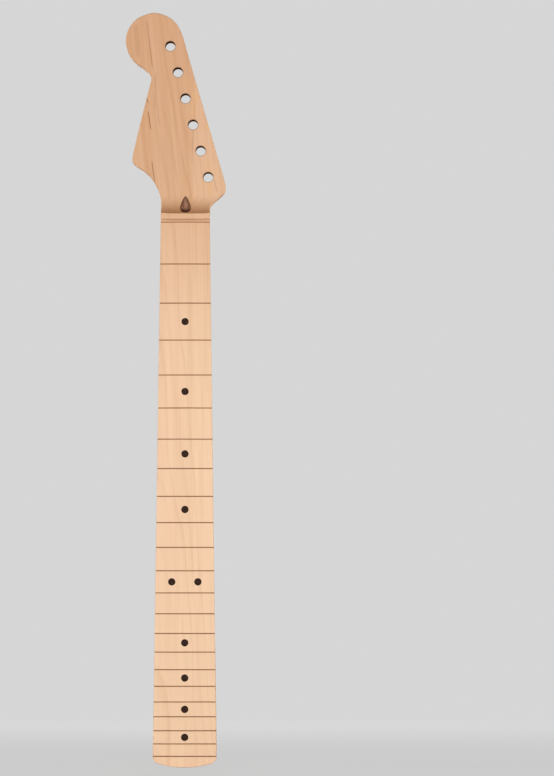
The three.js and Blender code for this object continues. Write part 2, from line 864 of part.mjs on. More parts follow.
// The worm is turned so that a tooth of the wheel lies in the middle between two turns of its thread.
const worm = named('adjuster_worm', adjusterWorm(), blackSteel);
worm.rotation.set(0, quarterTurn, 0);
worm.rotateZ(-quarterTurn);
worm.position.set(0, wormY, barrelZ);

const group = new THREE.Group();
group.add(neck, rod, worm);
export default group;
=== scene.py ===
import math
from functools import partialmethod

import bmesh
import bpy
import numpy as np
from mathutils import Euler, Matrix, Vector
from mathutils.kdtree import KDTree


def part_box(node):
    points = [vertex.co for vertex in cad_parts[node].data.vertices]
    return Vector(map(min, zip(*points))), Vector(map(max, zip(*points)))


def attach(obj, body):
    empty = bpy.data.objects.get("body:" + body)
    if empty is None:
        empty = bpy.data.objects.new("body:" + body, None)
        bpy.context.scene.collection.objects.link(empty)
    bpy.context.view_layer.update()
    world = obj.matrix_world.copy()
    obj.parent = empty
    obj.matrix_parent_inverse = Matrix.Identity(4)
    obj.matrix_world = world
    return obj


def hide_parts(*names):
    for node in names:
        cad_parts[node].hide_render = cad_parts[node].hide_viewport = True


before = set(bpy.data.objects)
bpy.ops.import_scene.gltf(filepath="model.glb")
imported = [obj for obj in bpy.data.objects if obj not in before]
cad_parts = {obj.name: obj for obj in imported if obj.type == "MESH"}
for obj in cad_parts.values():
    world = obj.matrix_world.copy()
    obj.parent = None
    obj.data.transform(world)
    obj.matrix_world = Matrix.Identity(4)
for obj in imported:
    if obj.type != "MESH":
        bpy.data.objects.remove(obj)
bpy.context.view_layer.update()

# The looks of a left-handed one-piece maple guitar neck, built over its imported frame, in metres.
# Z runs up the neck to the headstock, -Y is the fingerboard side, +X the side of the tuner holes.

mm = 0.001
degree = math.pi / 180
quarter_turn = math.pi / 2

# Frets and nut
scale_length = 647.7 * mm
fret_slots = 22
frets_per_octave = 12
fret_slot_width = 0.58 * mm
fret_slot_depth = 2.2 * mm
nut_slot_width = 3.3 * mm
nut_slot_depth = 3.2 * mm

# Neck shaft, its places taken from the frame
neck_low, neck_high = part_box("maple_neck")
crown_y = neck_low.y
neck_end_z = neck_low.z
last_fret_to_end = 9.655 * mm
nut_to_end = scale_length * (1 - 2 ** (-fret_slots / frets_per_octave)) + last_fret_to_end
nut_z = neck_end_z + nut_to_end
nut_width = 42.9 * mm
neck_end_width = 55.6 * mm
crown_radius_at_nut = 254 * mm
crown_radius_at_end = 406 * mm
first_fret_thickness = 20.8 * mm
twelfth_fret_thickness = 22.2 * mm
side_wall_height = 5 * mm
back_roundness = 2.2

# Heel
heel_flat_top_middle = 53 * mm
heel_flat_top_edge = 39 * mm
heel_sweep_length = 46 * mm
overhang_length = 6.6 * mm
overhang_thickness = 6.35 * mm
end_arc_radius = 86 * mm
end_corner_radius = 6.5 * mm
block_corner_radius = 5 * mm
end_bend_length = 4 * block_corner_radius
bolt_holes = 4
bolt_spacing = (38.1 * mm, 50.8 * mm)
bolt_hole_radius = 1.7 * mm
bolt_hole_depth = 19 * mm

# Headstock
head_length = 186.2 * mm
head_reach_left = 52.7 * mm
head_reach_right = 35.2 * mm
head_thickness = 14.3 * mm
shelf_length = 8.05 * mm
ramp_radius = 22 * mm
throat_wall_height = 6.3 * mm
throat_wall_start = 12 * mm
throat_wall_end = 18 * mm
throat_sweep_length = 24 * mm
throat_crease_softness = 0.3 * mm
tuner_holes = 6
tuner_hole_radius = 4.365 * mm
first_hole_up, first_hole_across = head_length * 0.2205, head_reach_right * 0.5653
last_hole_up, last_hole_across = head_length * 0.8415, head_reach_right * -0.3828

# Shares of the headstock's length and of its reach to that side, up the left side and down the right
head_left_shares = [
    (0.1, -0.405), (0.135, -0.424), (0.178, -0.486), (0.221, -0.582), (0.25, -0.691),
    (0.278, -0.84), (0.293, -0.882), (0.309, -0.886), (0.33, -0.874), (0.46, -0.769),
    (0.602, -0.644), (0.655, -0.597), (0.685, -0.574), (0.71, -0.597), (0.736, -0.695),
    (0.76, -0.815), (0.794, -0.923), (0.827, -0.977), (0.866, -1), (0.905, -0.979),
    (0.94, -0.917), (0.972, -0.81), (0.9935, -0.65), (1, -0.5235), (0.9935, -0.399),
    (0.972, -0.241),
]
head_right_shares = [
    (0.938, -0.193), (0.897, -0.091), (0.854, -0.021), (0.806, 0.05), (0.242, 0.913),
    (0.209, 0.963), (0.183, 0.997), (0.164, 1), (0.147, 0.969), (0.121, 0.833),
    (0.0924, 0.664), (0.0725, 0.616),
]
flat_line_left_shares = [(0.29, -0.868), (0.221, -0.505), (0.15, -0.254), (0.082, -0.124)]
flat_line_right_shares = [(0.054, 0.045), (0.065, 0.295), (0.0785, 0.44), (0.126, 0.852), (0.164, 1)]

# Edges as a hand leaves them: how far each is rounded over, and how suddenly this starts on a flat
flat_edge_onset = 4
board_edge_round = 0.45 * mm
head_front_round = 0.9 * mm
head_back_round = 1.5 * mm
heel_edge_round = 0.7 * mm

# Inlays
snug = 0.03 * mm
single_dots = 8
dots = single_dots + 2
first_dot_fret = 3
dots_below_pair = 4
fret_skip_at_pair = 4
dot_radius = 3.175 * mm
dot_thickness = 2 * mm
dot_pair_spacing = 22.8 * mm
side_dot_radius = 1.2 * mm
side_dot_length = 3 * mm
side_dot_depth = 2.9 * mm
side_dot_pair_spacing = 10 * mm
plug_radius = 4.75 * mm
plug_above_face = 0.2 * mm
plug_to_nut_slot = 1.7 * mm

# Rod channel and side adjuster
seat_gap = 0.3 * mm
channel_width = 6.35 * mm
channel_depth = 18.6 * mm
stripe_low, stripe_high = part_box("back_stripe")
channel_top_z = stripe_high.z + seat_gap
stripe_floor_y = stripe_low.y
stripe_end_z = stripe_low.z
barrel_low, barrel_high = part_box("adjuster_housing")
barrel_z = (barrel_low.z + barrel_high.z) / 2
barrel_radius = (barrel_high.z - barrel_low.z) / 2
worm_low, worm_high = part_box("adjuster_worm")
worm_y = (worm_low.y + worm_high.y) / 2
wheel_low, wheel_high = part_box("adjuster_wheel")
rod_y = (wheel_low.y + wheel_high.y) / 2
worm_bore_radius = 2.45 * mm
tail_bore_radius = 1.3 * mm
rod_bore_radius = 1.5 * mm
wheel_slot_width = 3.4 * mm
rim_chamfer = 0.3 * mm
centre_mark_radius = 0.45 * mm
key_hole_radius = 3.175 * mm

# Facets, and how far cutting tools run past a surface
column_count = 28
edge_easing = 2.5
line_steps = 36
bar_steps = 24
hole_sides = 72
small_hole_sides = 48
round_sides = 96
crease_angle = 28 * degree
overrun = 3 * mm
weld = 0.002 * mm
side_steps = 500
end_row_count = 16
heel_rows, heel_sweep_rows, shaft_rows, throat_rows, ramp_rows, head_rows = 8, 60, 48, 52, 20, 160
head_row_easing = 1.8

head_face_y = -head_thickness
head_drop = head_face_y - crown_y
shelf_end_z = nut_z + shelf_length
ramp_run = math.sqrt(2 * ramp_radius * head_drop - head_drop ** 2)
ramp_end_z = shelf_end_z + ramp_run
block_end_z = neck_end_z + overhang_length
underside_y = crown_y + overhang_thickness
straight_start_z = block_end_z + end_bend_length
plug_y = head_face_y - plug_above_face - plug_radius
plug_start_z = nut_z + nut_slot_width + plug_to_nut_slot


def between(first, last, share):
    return first + (last - first) * share


# Lines of the outline

def smooth_line(points):
    """A curve through the points, centripetal so that it makes no loops."""
    points = np.asarray(points, float)
    run = np.vstack([2 * points[0] - points[1], points, 2 * points[-1] - points[-2]])
    t = np.linspace(0, 1, line_steps, endpoint=False)[:, None]
    line = []
    for before, start, finish, after in zip(run, run[1:], run[2:], run[3:]):
        steps = (start - before, finish - start, after - finish)
        a, b, c = (np.linalg.norm(step) ** 0.5 for step in steps)
        leave = b * ((start - before) / a - (finish - before) / (a + b) + (finish - start) / b)
        arrive = b * ((finish - start) / b - (after - start) / (b + c) + (after - finish) / c)
        bend = 3 * (finish - start) - 2 * leave - arrive
        turn = 2 * (start - finish) + leave + arrive
        line.append(start + leave * t + bend * t ** 2 + turn * t ** 3)
    return np.vstack([*line, points[-1:]])


def head_points(shares, reach):
    return [(out * reach, up * head_length) for up, out in shares]


def head_outline():
    edge = nut_width / 2
    line = smooth_line([
        (-edge, 0),
        (-edge, shelf_length),
        *head_points(head_left_shares, head_reach_left),
        *head_points(head_right_shares, head_reach_right),
        (edge, shelf_length),
        (edge, 0),
    ])
    line[:, 0] = np.clip(line[:, 0], neck_low.x, neck_high.x)
    line[:, 1] = np.minimum(line[:, 1] + nut_z, neck_high.z)
    tip = int(line[:, 1].argmax())
    return line[:tip + 1], line[tip:][::-1]


outline_left, outline_right = head_outline()
head_top_z = outline_left[-1, 1]
flat_line = smooth_line([
    *head_points(flat_line_left_shares, head_reach_left),
    *head_points(flat_line_right_shares, head_reach_right),
])
throat_start_z = nut_z + flat_line[:, 1].min() - throat_sweep_length


def shaft_half_width(z):
    return between(nut_width, neck_end_width, (nut_z - z) / nut_to_end) / 2


def edges_at(z):
    half = shaft_half_width(z)
    left = np.interp(z, outline_left[:, 1], outline_left[:, 0])
    right = np.interp(z, outline_right[:, 1], outline_right[:, 0])
    return np.where(z <= nut_z, -half, left), np.where(z <= nut_z, half, right)


def end_line(x, end_z, corner_radius):
    """Height of the neck's curved end above each x: a long arc between two rounded corners."""
    half = shaft_half_width(end_z + corner_radius)
    arc_z = end_z + end_arc_radius
    corner_x = half - corner_radius
    corner_z = arc_z - math.sqrt((end_arc_radius - corner_radius) ** 2 - corner_x ** 2)
    meet_x = corner_x * end_arc_radius / (end_arc_radius - corner_radius)
    out = np.clip(np.abs(x) - corner_x, 0, corner_radius)
    corner = corner_z - np.sqrt(corner_radius ** 2 - out ** 2)
    arc = arc_z - np.sqrt(end_arc_radius ** 2 - x ** 2)
    return np.where(np.abs(x) > meet_x, corner, arc)


# Surfaces

def crown_depth(x, z):
    share = np.clip((nut_z - z) / nut_to_end, 0, None)
    radius = between(crown_radius_at_nut, crown_radius_at_end, share)
    return crown_y + radius - np.sqrt(radius ** 2 - x ** 2)


def front_depth(x, z):
    to_end = np.clip(ramp_end_z - z, 0, ramp_radius)
    ramp = head_face_y - ramp_radius + np.sqrt(ramp_radius ** 2 - to_end ** 2)
    crown = crown_depth(x, z)
    return np.where(z <= shelf_end_z, crown, np.maximum(crown, ramp))


def sweep_share(x, z, half):
    """How far the rounded back has run out into a flat: 0 on the shaft, 1 and more on a flat."""
    across = np.divide(x, half, out=np.zeros_like(x), where=half > 0)
    heel_top = between(heel_flat_top_middle, heel_flat_top_edge, across ** 2)
    heel = 1 - (z - heel_top) / heel_sweep_length
    flat_z = nut_z + np.interp(x, flat_line[:, 0], flat_line[:, 1])
    throat = 1 - (flat_z - z) / throat_sweep_length
    return np.clip(np.where(z < throat_start_z, heel, throat), 0, None)


def back_depth(x, z, left, right):
    half = (right - left) / 2
    across = np.divide(x - (left + right) / 2, half, out=np.zeros_like(x), where=half > 0)
    rounding = (1 - np.clip(np.abs(across), 0, 1) ** back_roundness) ** (1 / back_roundness)
    share = np.clip((z - nut_z + throat_wall_start) / (throat_wall_start + throat_wall_end), 0, 1)
    throat = share ** 2 * (3 - 2 * share)
    wall = between(crown_y + side_wall_height, head_face_y + throat_wall_height, throat)
    first = scale_length * (1 - 2 ** (-1 / frets_per_octave))
    along = (nut_z - np.minimum(z, nut_z) - first) / (scale_length / 2 - first)
    middle = crown_y + first_fret_thickness + (twelfth_fret_thickness - first_fret_thickness) * along
    sweep = sweep_share(x, z, half)
    raw = between(wall, middle, rounding) * (1 - sweep ** 2)
    soft = (raw - np.sqrt(raw ** 2 + throat_crease_softness ** 2)) / 2
    return np.where(sweep > 0, soft, raw)


def rounded_over(distance, radius):
    """How far a surface drops at this distance from its edge."""
    inside = np.clip(radius - distance, 0, radius)
    return radius - np.sqrt(np.clip(radius ** 2 - inside ** 2, 0, None))


# The neck's blank: rows of points across the neck, from its end to the tip of the headstock

def edge_columns():
    inner = 1 - np.linspace(0, 1, column_count + 1) ** edge_easing
    return np.concatenate([-inner[:-1], inner[::-1]])


def outline_loop(end_z, corner_radius):
    """The neck's whole outline in X and Z, with its curved end at this height."""
    x = edge_columns() * shaft_half_width(end_z + corner_radius)
    end = np.column_stack([x, end_line(x, end_z, corner_radius)])
    side_z = np.linspace(end[0, 1], nut_z, side_steps)[1:-1]
    side = np.column_stack([shaft_half_width(side_z), side_z])
    mirrored = side * (-1, 1)
    return np.vstack([end, side, outline_right, outline_left[::-1], mirrored[::-1], end[:1]])


def distance_to(line):
    """A function that gives the distance of points to a line, both in X and Z."""
    tree = KDTree(len(line))
    for i, (x, z) in enumerate(line):
        tree.insert((x, 0, z), i)
    tree.balance()

    def to_segment(point, i):
        start, along = line[i], line[i + 1] - line[i]
        share = np.clip((point - start) @ along / max(along @ along, weld ** 2), 0, 1)
        return np.linalg.norm(start + along * share - point)

    def distance(x, z):
        points = np.column_stack([x, z])
        nearest = [tree.find((px, 0, pz))[1] for px, pz in points]
        last = len(line) - 2
        return np.array([
            min(to_segment(point, max(i - 1, 0)), to_segment(point, min(i, last)))
            for point, i in zip(points, nearest)
        ])

    return distance


def end_rows(start_half, start_z, end_z, corner_radius):
    """Rows that bend from a start line across the neck into the curve of its end."""
    end_half = shaft_half_width(end_z + corner_radius)
    rows = []
    for share in 1 - np.linspace(1, 0, end_row_count) ** edge_easing:
        x = edge_columns() * between(start_half, end_half, share)
        curve = end_line(edge_columns() * end_half, end_z, corner_radius)
        rows.append((x, between(start_z, curve, share)))
    return rows


def straight_rows():
    heel_top = heel_flat_top_middle + heel_sweep_length
    ramp_angles = np.linspace(0, math.asin(ramp_run / ramp_radius), ramp_rows)
    head_shares = np.linspace(1, 0, head_rows) ** head_row_easing
    heights = np.unique(np.concatenate([
        np.linspace(straight_start_z, heel_flat_top_edge, heel_rows),
        np.linspace(heel_flat_top_edge, heel_top, heel_sweep_rows),
        np.linspace(heel_top, throat_start_z, shaft_rows),
        np.linspace(throat_start_z, ramp_end_z, throat_rows),
        ramp_end_z - ramp_radius * np.sin(ramp_angles),
        [shelf_end_z + 2 * weld],
        between(head_top_z, ramp_end_z, head_shares),
    ]))
    kept = heights[np.concatenate([[True], np.diff(heights) > weld])]
    rows = []
    for z in kept:
        left, right = edges_at(z)
        x = (left + right) / 2 + edge_columns() * (right - left) / 2
        rows.append((x, np.full_like(x, z)))
    return rows


def depths(x, z, outside, back_outside, under=False):
    """Front and back of the neck at these points, with the edges rounded over."""
    left, right = edges_at(z)
    head = np.clip((z - nut_z) / shelf_length, 0, 1)
    front_round = between(board_edge_round, head_front_round, head)
    front = front_depth(x, z) + rounded_over(outside(x, z), front_round)
    if under:
        return front, np.full_like(x, underside_y) - rounded_over(outside(x, z), board_edge_round)
    flat = np.clip(sweep_share(x, z, (right - left) / 2), 0, 1) ** flat_edge_onset
    back_round = np.where(z < throat_start_z, heel_edge_round, head_back_round) * flat
    sunk = rounded_over(back_outside(x, z), np.maximum(back_round, weld))
    return front, back_depth(x, z, left, right) - sunk


def blank_mesh():
    board = distance_to(outline_loop(neck_end_z, end_corner_radius))
    heel = distance_to(outline_loop(block_end_z, block_corner_radius))
    start_half = shaft_half_width(straight_start_z)
    block_rows = end_rows(start_half, straight_start_z, block_end_z, block_corner_radius)
    block_x, block_line = block_rows[-1]
    board_rows = end_rows(block_x[-1], block_line, neck_end_z, end_corner_radius)
    lip = [(x, z, *depths(x, z, board, board, under=True)) for x, z in reversed(board_rows)]
    body = [(x, z, *depths(x, z, board, heel)) for x, z in [*reversed(block_rows), *straight_rows()[1:]]]
    (_, _, _, lip_back), (_, _, front, back) = lip[-1], body[0]
    wall_share = (lip_back[0] - front[0]) / (back[0] - front[0])
    rows = [(*row, 1) for row in lip] + [(*row, wall_share) for row in body]
    points = []
    for x, z, front, back, share in rows:
        wall = between(front, back, share)
        points += list(zip(x, front, z))
        points.append((x[-1], wall[-1], z[-1]))
        points += list(zip(x, back, z))[::-1]
        points.append((x[0], wall[0], z[0]))
    size = 2 * len(x) + 2
    faces = []
    for row in range(len(rows) - 1):
        for i in range(size):
            a, b = row * size + i, row * size + (i + 1) % size
            faces.append((a, b, b + size, a + size))
    across = len(x)
    for i in range(across - 1):
        faces.append((i, size - 2 - i, size - 3 - i, i + 1))
    return closed_mesh("maple", points, faces)


def closed_mesh(name, points, faces):
    """A mesh with its doubles merged and its faces turned outwards."""
    mesh = bpy.data.meshes.new(name)
    mesh.from_pydata([tuple(map(float, point)) for point in points], [], faces)
    work = bmesh.new()
    work.from_mesh(mesh)
    bmesh.ops.remove_doubles(work, verts=work.verts, dist=weld)
    bmesh.ops.dissolve_degenerate(work, dist=weld / 4, edges=work.edges)
    bmesh.ops.recalc_face_normals(work, faces=work.faces)
    work.to_mesh(mesh)
    work.free()
    return mesh


# Node trees

class Flow:
    """What comes out of a node. Sums, products and comparisons of it add Math nodes to its tree."""

    def __init__(self, socket):
        self.socket = socket
        self.tree = socket.id_data

    def math(self, operation, *others):
        return add(self.tree, "ShaderNodeMath", [self, *others], operation=operation)

    def __neg__(self):
        return self * -1

    def __rsub__(self, other):
        return -self + other

    __add__ = __radd__ = partialmethod(math, "ADD")
    __sub__ = partialmethod(math, "SUBTRACT")
    __mul__ = __rmul__ = partialmethod(math, "MULTIPLY")
    __truediv__ = partialmethod(math, "DIVIDE")
    __gt__ = partialmethod(math, "GREATER_THAN")


def add(tree, kind, inputs=(), output=0, **settings):
    """Adds a node, feeds its inputs with flows or plain values, and gives back one output."""
    node = tree.nodes.new(kind)
    for name, value in settings.items():
        setattr(node, name, value)
    pairs = inputs.items() if isinstance(inputs, dict) else enumerate(inputs)
    for key, value in pairs:
        several = value if isinstance(value, list) else [value]
        for one in several:
            if isinstance(one, Flow):
                tree.links.new(one.socket, node.inputs[key])
            else:
                node.inputs[key].default_value = one
    if node.outputs:
        return Flow(node.outputs[output])


def vector(tree, x, y, z):
    return add(tree, "ShaderNodeCombineXYZ", [x, y, z])


def parts(flow):
    """The X, Y and Z of a vector."""
    return [add(flow.tree, "ShaderNodeSeparateXYZ", [flow], output=i) for i in range(3)]


def diagonal(across, along):
    return (across * across + along * along).math("SQRT")


def strongest(flows):
    result = flows[0]
    for flow in flows[1:]:
        result = result.math("MAXIMUM", flow)
    return result


def fret_place(nut, string, fret):
    """Where a fret lies along the neck: each one stops the string at a twelfth root of two less."""
    rest = add(fret.tree, "ShaderNodeMath", [2.0, fret * (-1 / frets_per_octave)], operation="POWER")
    return nut - string * (1 - rest)


def placed(name, data):
    thing = bpy.data.objects.new(name, data)
    bpy.context.scene.collection.objects.link(thing)
    return thing


socket_kinds = {
    float: "NodeSocketFloat",
    int: "NodeSocketInt",
    bpy.types.Material: "NodeSocketMaterial",
}


def grown(name, recipe, sizes, finishes, start=None):
    """Grows a piece by its recipe and makes it a plain mesh. A second finish goes on its cut faces."""
    tree = bpy.data.node_groups.new(name + "_recipe", "GeometryNodeTree")
    for side in ("INPUT", "OUTPUT"):
        tree.interface.new_socket("Geometry", in_out=side, socket_type="NodeSocketGeometry")
    values = {**sizes, "Finish": finishes[0]}
    sockets = {
        label: tree.interface.new_socket(label, in_out="INPUT", socket_type=socket_kinds[type(value)])
        for label, value in values.items()
    }
    entry = tree.nodes.new("NodeGroupInput")
    given = {socket.name: Flow(socket) for socket in entry.outputs if socket.name}
    made = add(tree, "GeometryNodeRealizeInstances", [recipe(tree, given)])
    made = add(tree, "GeometryNodeSetMaterial", {"Geometry": made, "Material": given["Finish"]})
    add(tree, "NodeGroupOutput", [made])
    piece = placed(name, start.copy() if start else bpy.data.meshes.new(name))
    piece.data.materials.append(finishes[0])
    modifier = piece.modifiers.new("recipe", "NODES")
    modifier.node_group = tree
    for label, socket in sockets.items():
        modifier[socket.identifier] = values[label]
    graph = bpy.context.evaluated_depsgraph_get()
    plain = bpy.data.meshes.new_from_object(piece.evaluated_get(graph), depsgraph=graph)
    piece.modifiers.clear()
    piece.data = plain
    plain.materials.clear()
    for finish in finishes:
        plain.materials.append(finish)
    cut = np.zeros(len(plain.polygons))
    if len(finishes) > 1:
        plain.attributes["cut"].data.foreach_get("value", cut)
    plain.polygons.foreach_set("material_index", cut.round().astype(int).tolist())
    plain.shade_smooth()
    plain.set_sharp_from_angle(angle=crease_angle)
    return piece


# Parts of recipes: tools, and the rules for places

turns = {
    "X": Euler((0, quarter_turn, 0)),
    "Y": Euler((quarter_turn, 0, 0)),
    "Z": Euler((0, 0, 0)),
}


def moved(shape, place):
    inputs = {"Geometry": shape, "Translation": vector(shape.tree, *place)}
    return add(shape.tree, "GeometryNodeTransform", inputs)


def turned(shape, axis):
    """Lays a shape that stands along Z down along an axis."""
    return add(shape.tree, "GeometryNodeTransform", {"Geometry": shape, "Rotation": turns[axis]})


def bar(tree, low, high, steps=1):
    """A bar between two corners, cut into steps across the neck."""
    size = vector(tree, *[b - a for a, b in zip(low, high)])
    middle = [(a + b) * 0.5 for a, b in zip(low, high)]
    return moved(add(tree, "GeometryNodeMeshCube", {"Size": size, "Vertices X": steps + 1}), middle)


def rod_along(tree, axis, radius, low, high, sides=hole_sides):
    """A round rod along an axis, from one height on it to the other, centred on it."""
    inputs = {"Vertices": sides, "Radius": radius, "Depth": high - low}
    rod = turned(add(tree, "GeometryNodeMeshCylinder", inputs), axis)
    middle = (low + high) * 0.5
    return moved(rod, [middle if name == axis else 0 for name in "XYZ"])


def cone_from_back(tree, back_radius, front_radius, depth):
    """A cone along Y, from its back at the origin towards the board."""
    radii = {"Radius Bottom": back_radius, "Radius Top": front_radius}
    cone = add(tree, "GeometryNodeMeshCone", {"Vertices": round_sides, "Depth": depth, **radii})
    return turned(cone, "Y")


def slot_tool(tree, width, floor_y, low_z, top_z):
    """A bar that runs along the neck, square at its low end and round at its top."""
    half = width * 0.5
    straight = bar(tree, (-half, floor_y, low_z), (half, overrun, top_z - half))
    end = moved(rod_along(tree, "Y", half, floor_y, overrun), (0, 0, top_z - half))
    both = add(tree, "GeometryNodeJoinGeometry", [[straight, end]])
    return add(tree, "GeometryNodeConvexHull", [both])


def row_of_points(tree, count, rule):
    """As many points as asked, each placed by a rule from its number."""
    line = add(tree, "GeometryNodeMeshLine", {"Count": count})
    place = vector(tree, *rule(add(tree, "GeometryNodeInputIndex")))
    return add(tree, "GeometryNodeSetPosition", {"Geometry": line, "Position": place})


def copies(points, shape):
    inputs = {"Points": points, "Instance": shape}
    instances = add(points.tree, "GeometryNodeInstanceOnPoints", inputs)
    return add(points.tree, "GeometryNodeRealizeInstances", [instances])


def along_board(given, size, z):
    """A size that changes evenly from the nut to the neck's end, at this height."""
    share = (given["Nut height"] - z) / given["Nut to end"]
    return between(given[size + " at nut"], given[size + " at end"], share)


def fret_height(given, fret):
    return fret_place(given["Nut height"], given["Scale length"], fret)


def between_frets(given, fret):
    return (fret_height(given, fret) + fret_height(given, fret - 1)) * 0.5


def laid_on_crown(given, shape):
    """Lets each point down by as much as the crowned board falls away from its middle there."""
    x, _, z = parts(add(shape.tree, "GeometryNodeInputPosition"))
    radius = along_board(given, "Crown radius", z)
    sag = radius - (radius * radius - x * x).math("SQRT")
    inputs = {"Geometry": shape, "Offset": vector(shape.tree, 0, sag, 0)}
    return add(shape.tree, "GeometryNodeSetPosition", inputs)


def dot_place(given, number):
    """Frets 3 to 9 and 15 to 21, every second one, then a pair at fret 12: its side, and its height."""
    pair = number > single_dots - 0.5
    side = pair * (number * 2 - (2 * single_dots + 1))
    single = number * 2 + first_dot_fret + (number > dots_below_pair - 0.5) * fret_skip_at_pair
    fret = single + pair * (frets_per_octave - single)
    return side, between_frets(given, fret)


def noted(shape, name):
    """Notes a name on the faces of a tool, so that the wood it cuts can be darker there."""
    inputs = {"Geometry": shape, "Name": name, "Value": 1}
    return add(shape.tree, "GeometryNodeStoreNamedAttribute", inputs, data_type="FLOAT", domain="FACE")


def cut_from(wood, tools):
    inputs = {"Mesh 1": wood, "Mesh 2": tools}
    return add(wood.tree, "GeometryNodeMeshBoolean", inputs, operation="DIFFERENCE", solver="MANIFOLD")


def kept_inside(wood, tool):
    inputs = {"Mesh 2": [wood, tool]}
    return add(wood.tree, "GeometryNodeMeshBoolean", inputs, operation="INTERSECT", solver="MANIFOLD")


# Recipes of the pieces

def face_dot_tools(tree, given, gap):
    radius = given["Dot radius"] + gap
    tool = rod_along(tree, "Y", radius, crown_y - overrun, crown_y + dot_thickness + gap)
    pair_half = given["Dot pair spacing"] * 0.5

    def rule(number):
        side, z = dot_place(given, number)
        return side * pair_half, 0, z

    return copies(laid_on_crown(given, row_of_points(tree, given["Dots"], rule)), tool)


def side_dot_tools(tree, given, gap):
    radius = given["Side dot radius"] + gap
    tool = rod_along(tree, "X", radius, -side_dot_length - gap, overrun, small_hole_sides)

    def rule(number):
        side, z = dot_place(given, number)
        # The pair at fret 12 lies one above the other on the edge.
        z = z + side * (given["Side dot pair spacing"] * 0.5)
        return along_board(given, "Width", z) * 0.5, crown_y + side_dot_depth, z

    return copies(row_of_points(tree, given["Dots"], rule), tool)


def fret_tools(tree, given):
    half = neck_end_width / 2 + overrun
    low = (-half, crown_y - overrun, given["Fret slot width"] * -0.5)
    high = (half, crown_y + given["Fret slot depth"], given["Fret slot width"] * 0.5)
    points = row_of_points(tree, given["Frets"], lambda number: (0, 0, fret_height(given, number + 1)))
    return laid_on_crown(given, copies(points, bar(tree, low, high, bar_steps)))


def tuner_tools(tree, given):
    def rule(number):
        share = number / (given["Tuner holes"] - 1)
        x = between(given["First hole across"], given["Last hole across"], share)
        z = between(given["First hole up"], given["Last hole up"], share)
        return x, 0, given["Nut height"] + z

    tool = rod_along(tree, "Y", given["Tuner hole radius"], head_face_y - overrun, overrun)
    return copies(row_of_points(tree, given["Tuner holes"], rule), tool)


def bolt_tools(tree, given):
    def rule(number):
        across = number.math("MODULO", 2) - 0.5
        along = (number * 0.5).math("FLOOR") - 0.5
        return across * given["Bolts across"], 0, along * given["Bolts along"]

    tool = rod_along(tree, "Y", given["Bolt hole radius"], -bolt_hole_depth, overrun, small_hole_sides)
    return copies(row_of_points(tree, bolt_holes, rule), tool)


def maple_recipe(tree, given):
    """The blank, sawn and drilled."""
    half = nut_width / 2 + overrun
    nut_low = (-half, crown_y - overrun, given["Nut height"])
    nut_high = (half, crown_y + nut_slot_depth, given["Nut height"] + given["Nut slot width"])
    pocket = rod_along(tree, "Y", given["Pocket radius"], barrel_low.y - seat_gap, overrun)
    key = rod_along(tree, "X", given["Key hole radius"], -neck_end_width / 2 - overrun, 0)
    plug = rod_along(tree, "Z", given["Plug radius"], plug_start_z, ramp_end_z + overrun)
    tools = [
        noted(fret_tools(tree, given), "sawn"),
        tuner_tools(tree, given),
        bolt_tools(tree, given),
        slot_tool(tree, given["Channel width"], -channel_depth, barrel_z, channel_top_z),
        moved(pocket, (0, 0, barrel_z)),
        moved(key, (0, worm_y, barrel_z)),
        moved(plug, (0, plug_y, 0)),
        face_dot_tools(tree, given, given["Fit"]),
        side_dot_tools(tree, given, given["Fit"]),
    ]
    nut_seat = noted(bar(tree, nut_low, nut_high), "nut_seat")
    return cut_from(given["Geometry"], [nut_seat, *[noted(tool, "cut") for tool in tools]])


def face_dots_recipe(tree, given):
    return kept_inside(given["Geometry"], face_dot_tools(tree, given, 0))


def side_dots_recipe(tree, given):
    return kept_inside(given["Geometry"], side_dot_tools(tree, given, 0))


def stripe_recipe(tree, given):
    width = given["Channel width"] - given["Fit"] * 2
    tool = slot_tool(tree, width, stripe_floor_y, stripe_end_z, channel_top_z - snug)
    return kept_inside(given["Geometry"], tool)


def plug_recipe(tree, given):
    radius = given["Plug radius"] - given["Fit"]
    tool = rod_along(tree, "Z", radius, plug_start_z + seat_gap, ramp_end_z + overrun)
    return kept_inside(given["Geometry"], moved(tool, (0, plug_y, 0)))


def housing_recipe(tree, given):
    """A barrel with a chamfered rim and a centre mark, slotted for the wheel, bored for rod and worm."""
    radius = given["Barrel radius"]
    barrel = rod_along(tree, "Y", radius, barrel_low.y, barrel_high.y, round_sides)
    length = barrel_high.y - barrel_low.y
    back_radius = radius - given["Rim chamfer"]
    cone = moved(cone_from_back(tree, back_radius, back_radius + length, length), (0, barrel_high.y, 0))
    mark = given["Mark radius"] * 2
    reach = radius + overrun
    half = given["Wheel slot"] * 0.5
    wheel_corner = (wheel_low.x - seat_gap, barrel_low.y - overrun, barrel_z - half)
    wheel_end = (wheel_high.x + seat_gap, rod_y + wheel_high.x + seat_gap, barrel_z + half)
    rod_bore = rod_along(tree, "Z", given["Rod bore radius"], -reach, reach)
    worm_bore = rod_along(tree, "X", worm_bore_radius, -reach, wheel_high.x + seat_gap)
    tail_bore = rod_along(tree, "X", tail_bore_radius, 0, reach)
    tools = [
        bar(tree, wheel_corner, wheel_end),
        moved(rod_bore, (0, rod_y, barrel_z)),
        moved(worm_bore, (0, worm_y, barrel_z)),
        moved(tail_bore, (0, worm_y, barrel_z)),
        moved(cone_from_back(tree, mark, 0, mark), (0, given["Mark radius"] + barrel_high.y, barrel_z)),
    ]
    return cut_from(moved(kept_inside(barrel, cone), (0, 0, barrel_z)), tools)


# Finishes

def srgb(*levels):
    """A colour from its levels on a screen, 0 to 255, as the linear colour that shaders take."""
    shares = [v / 255 for v in levels]
    return (*[((v + 0.055) / 1.055) ** 2.4 if v > 0.04 else v / 12.92 for v in shares], 1)


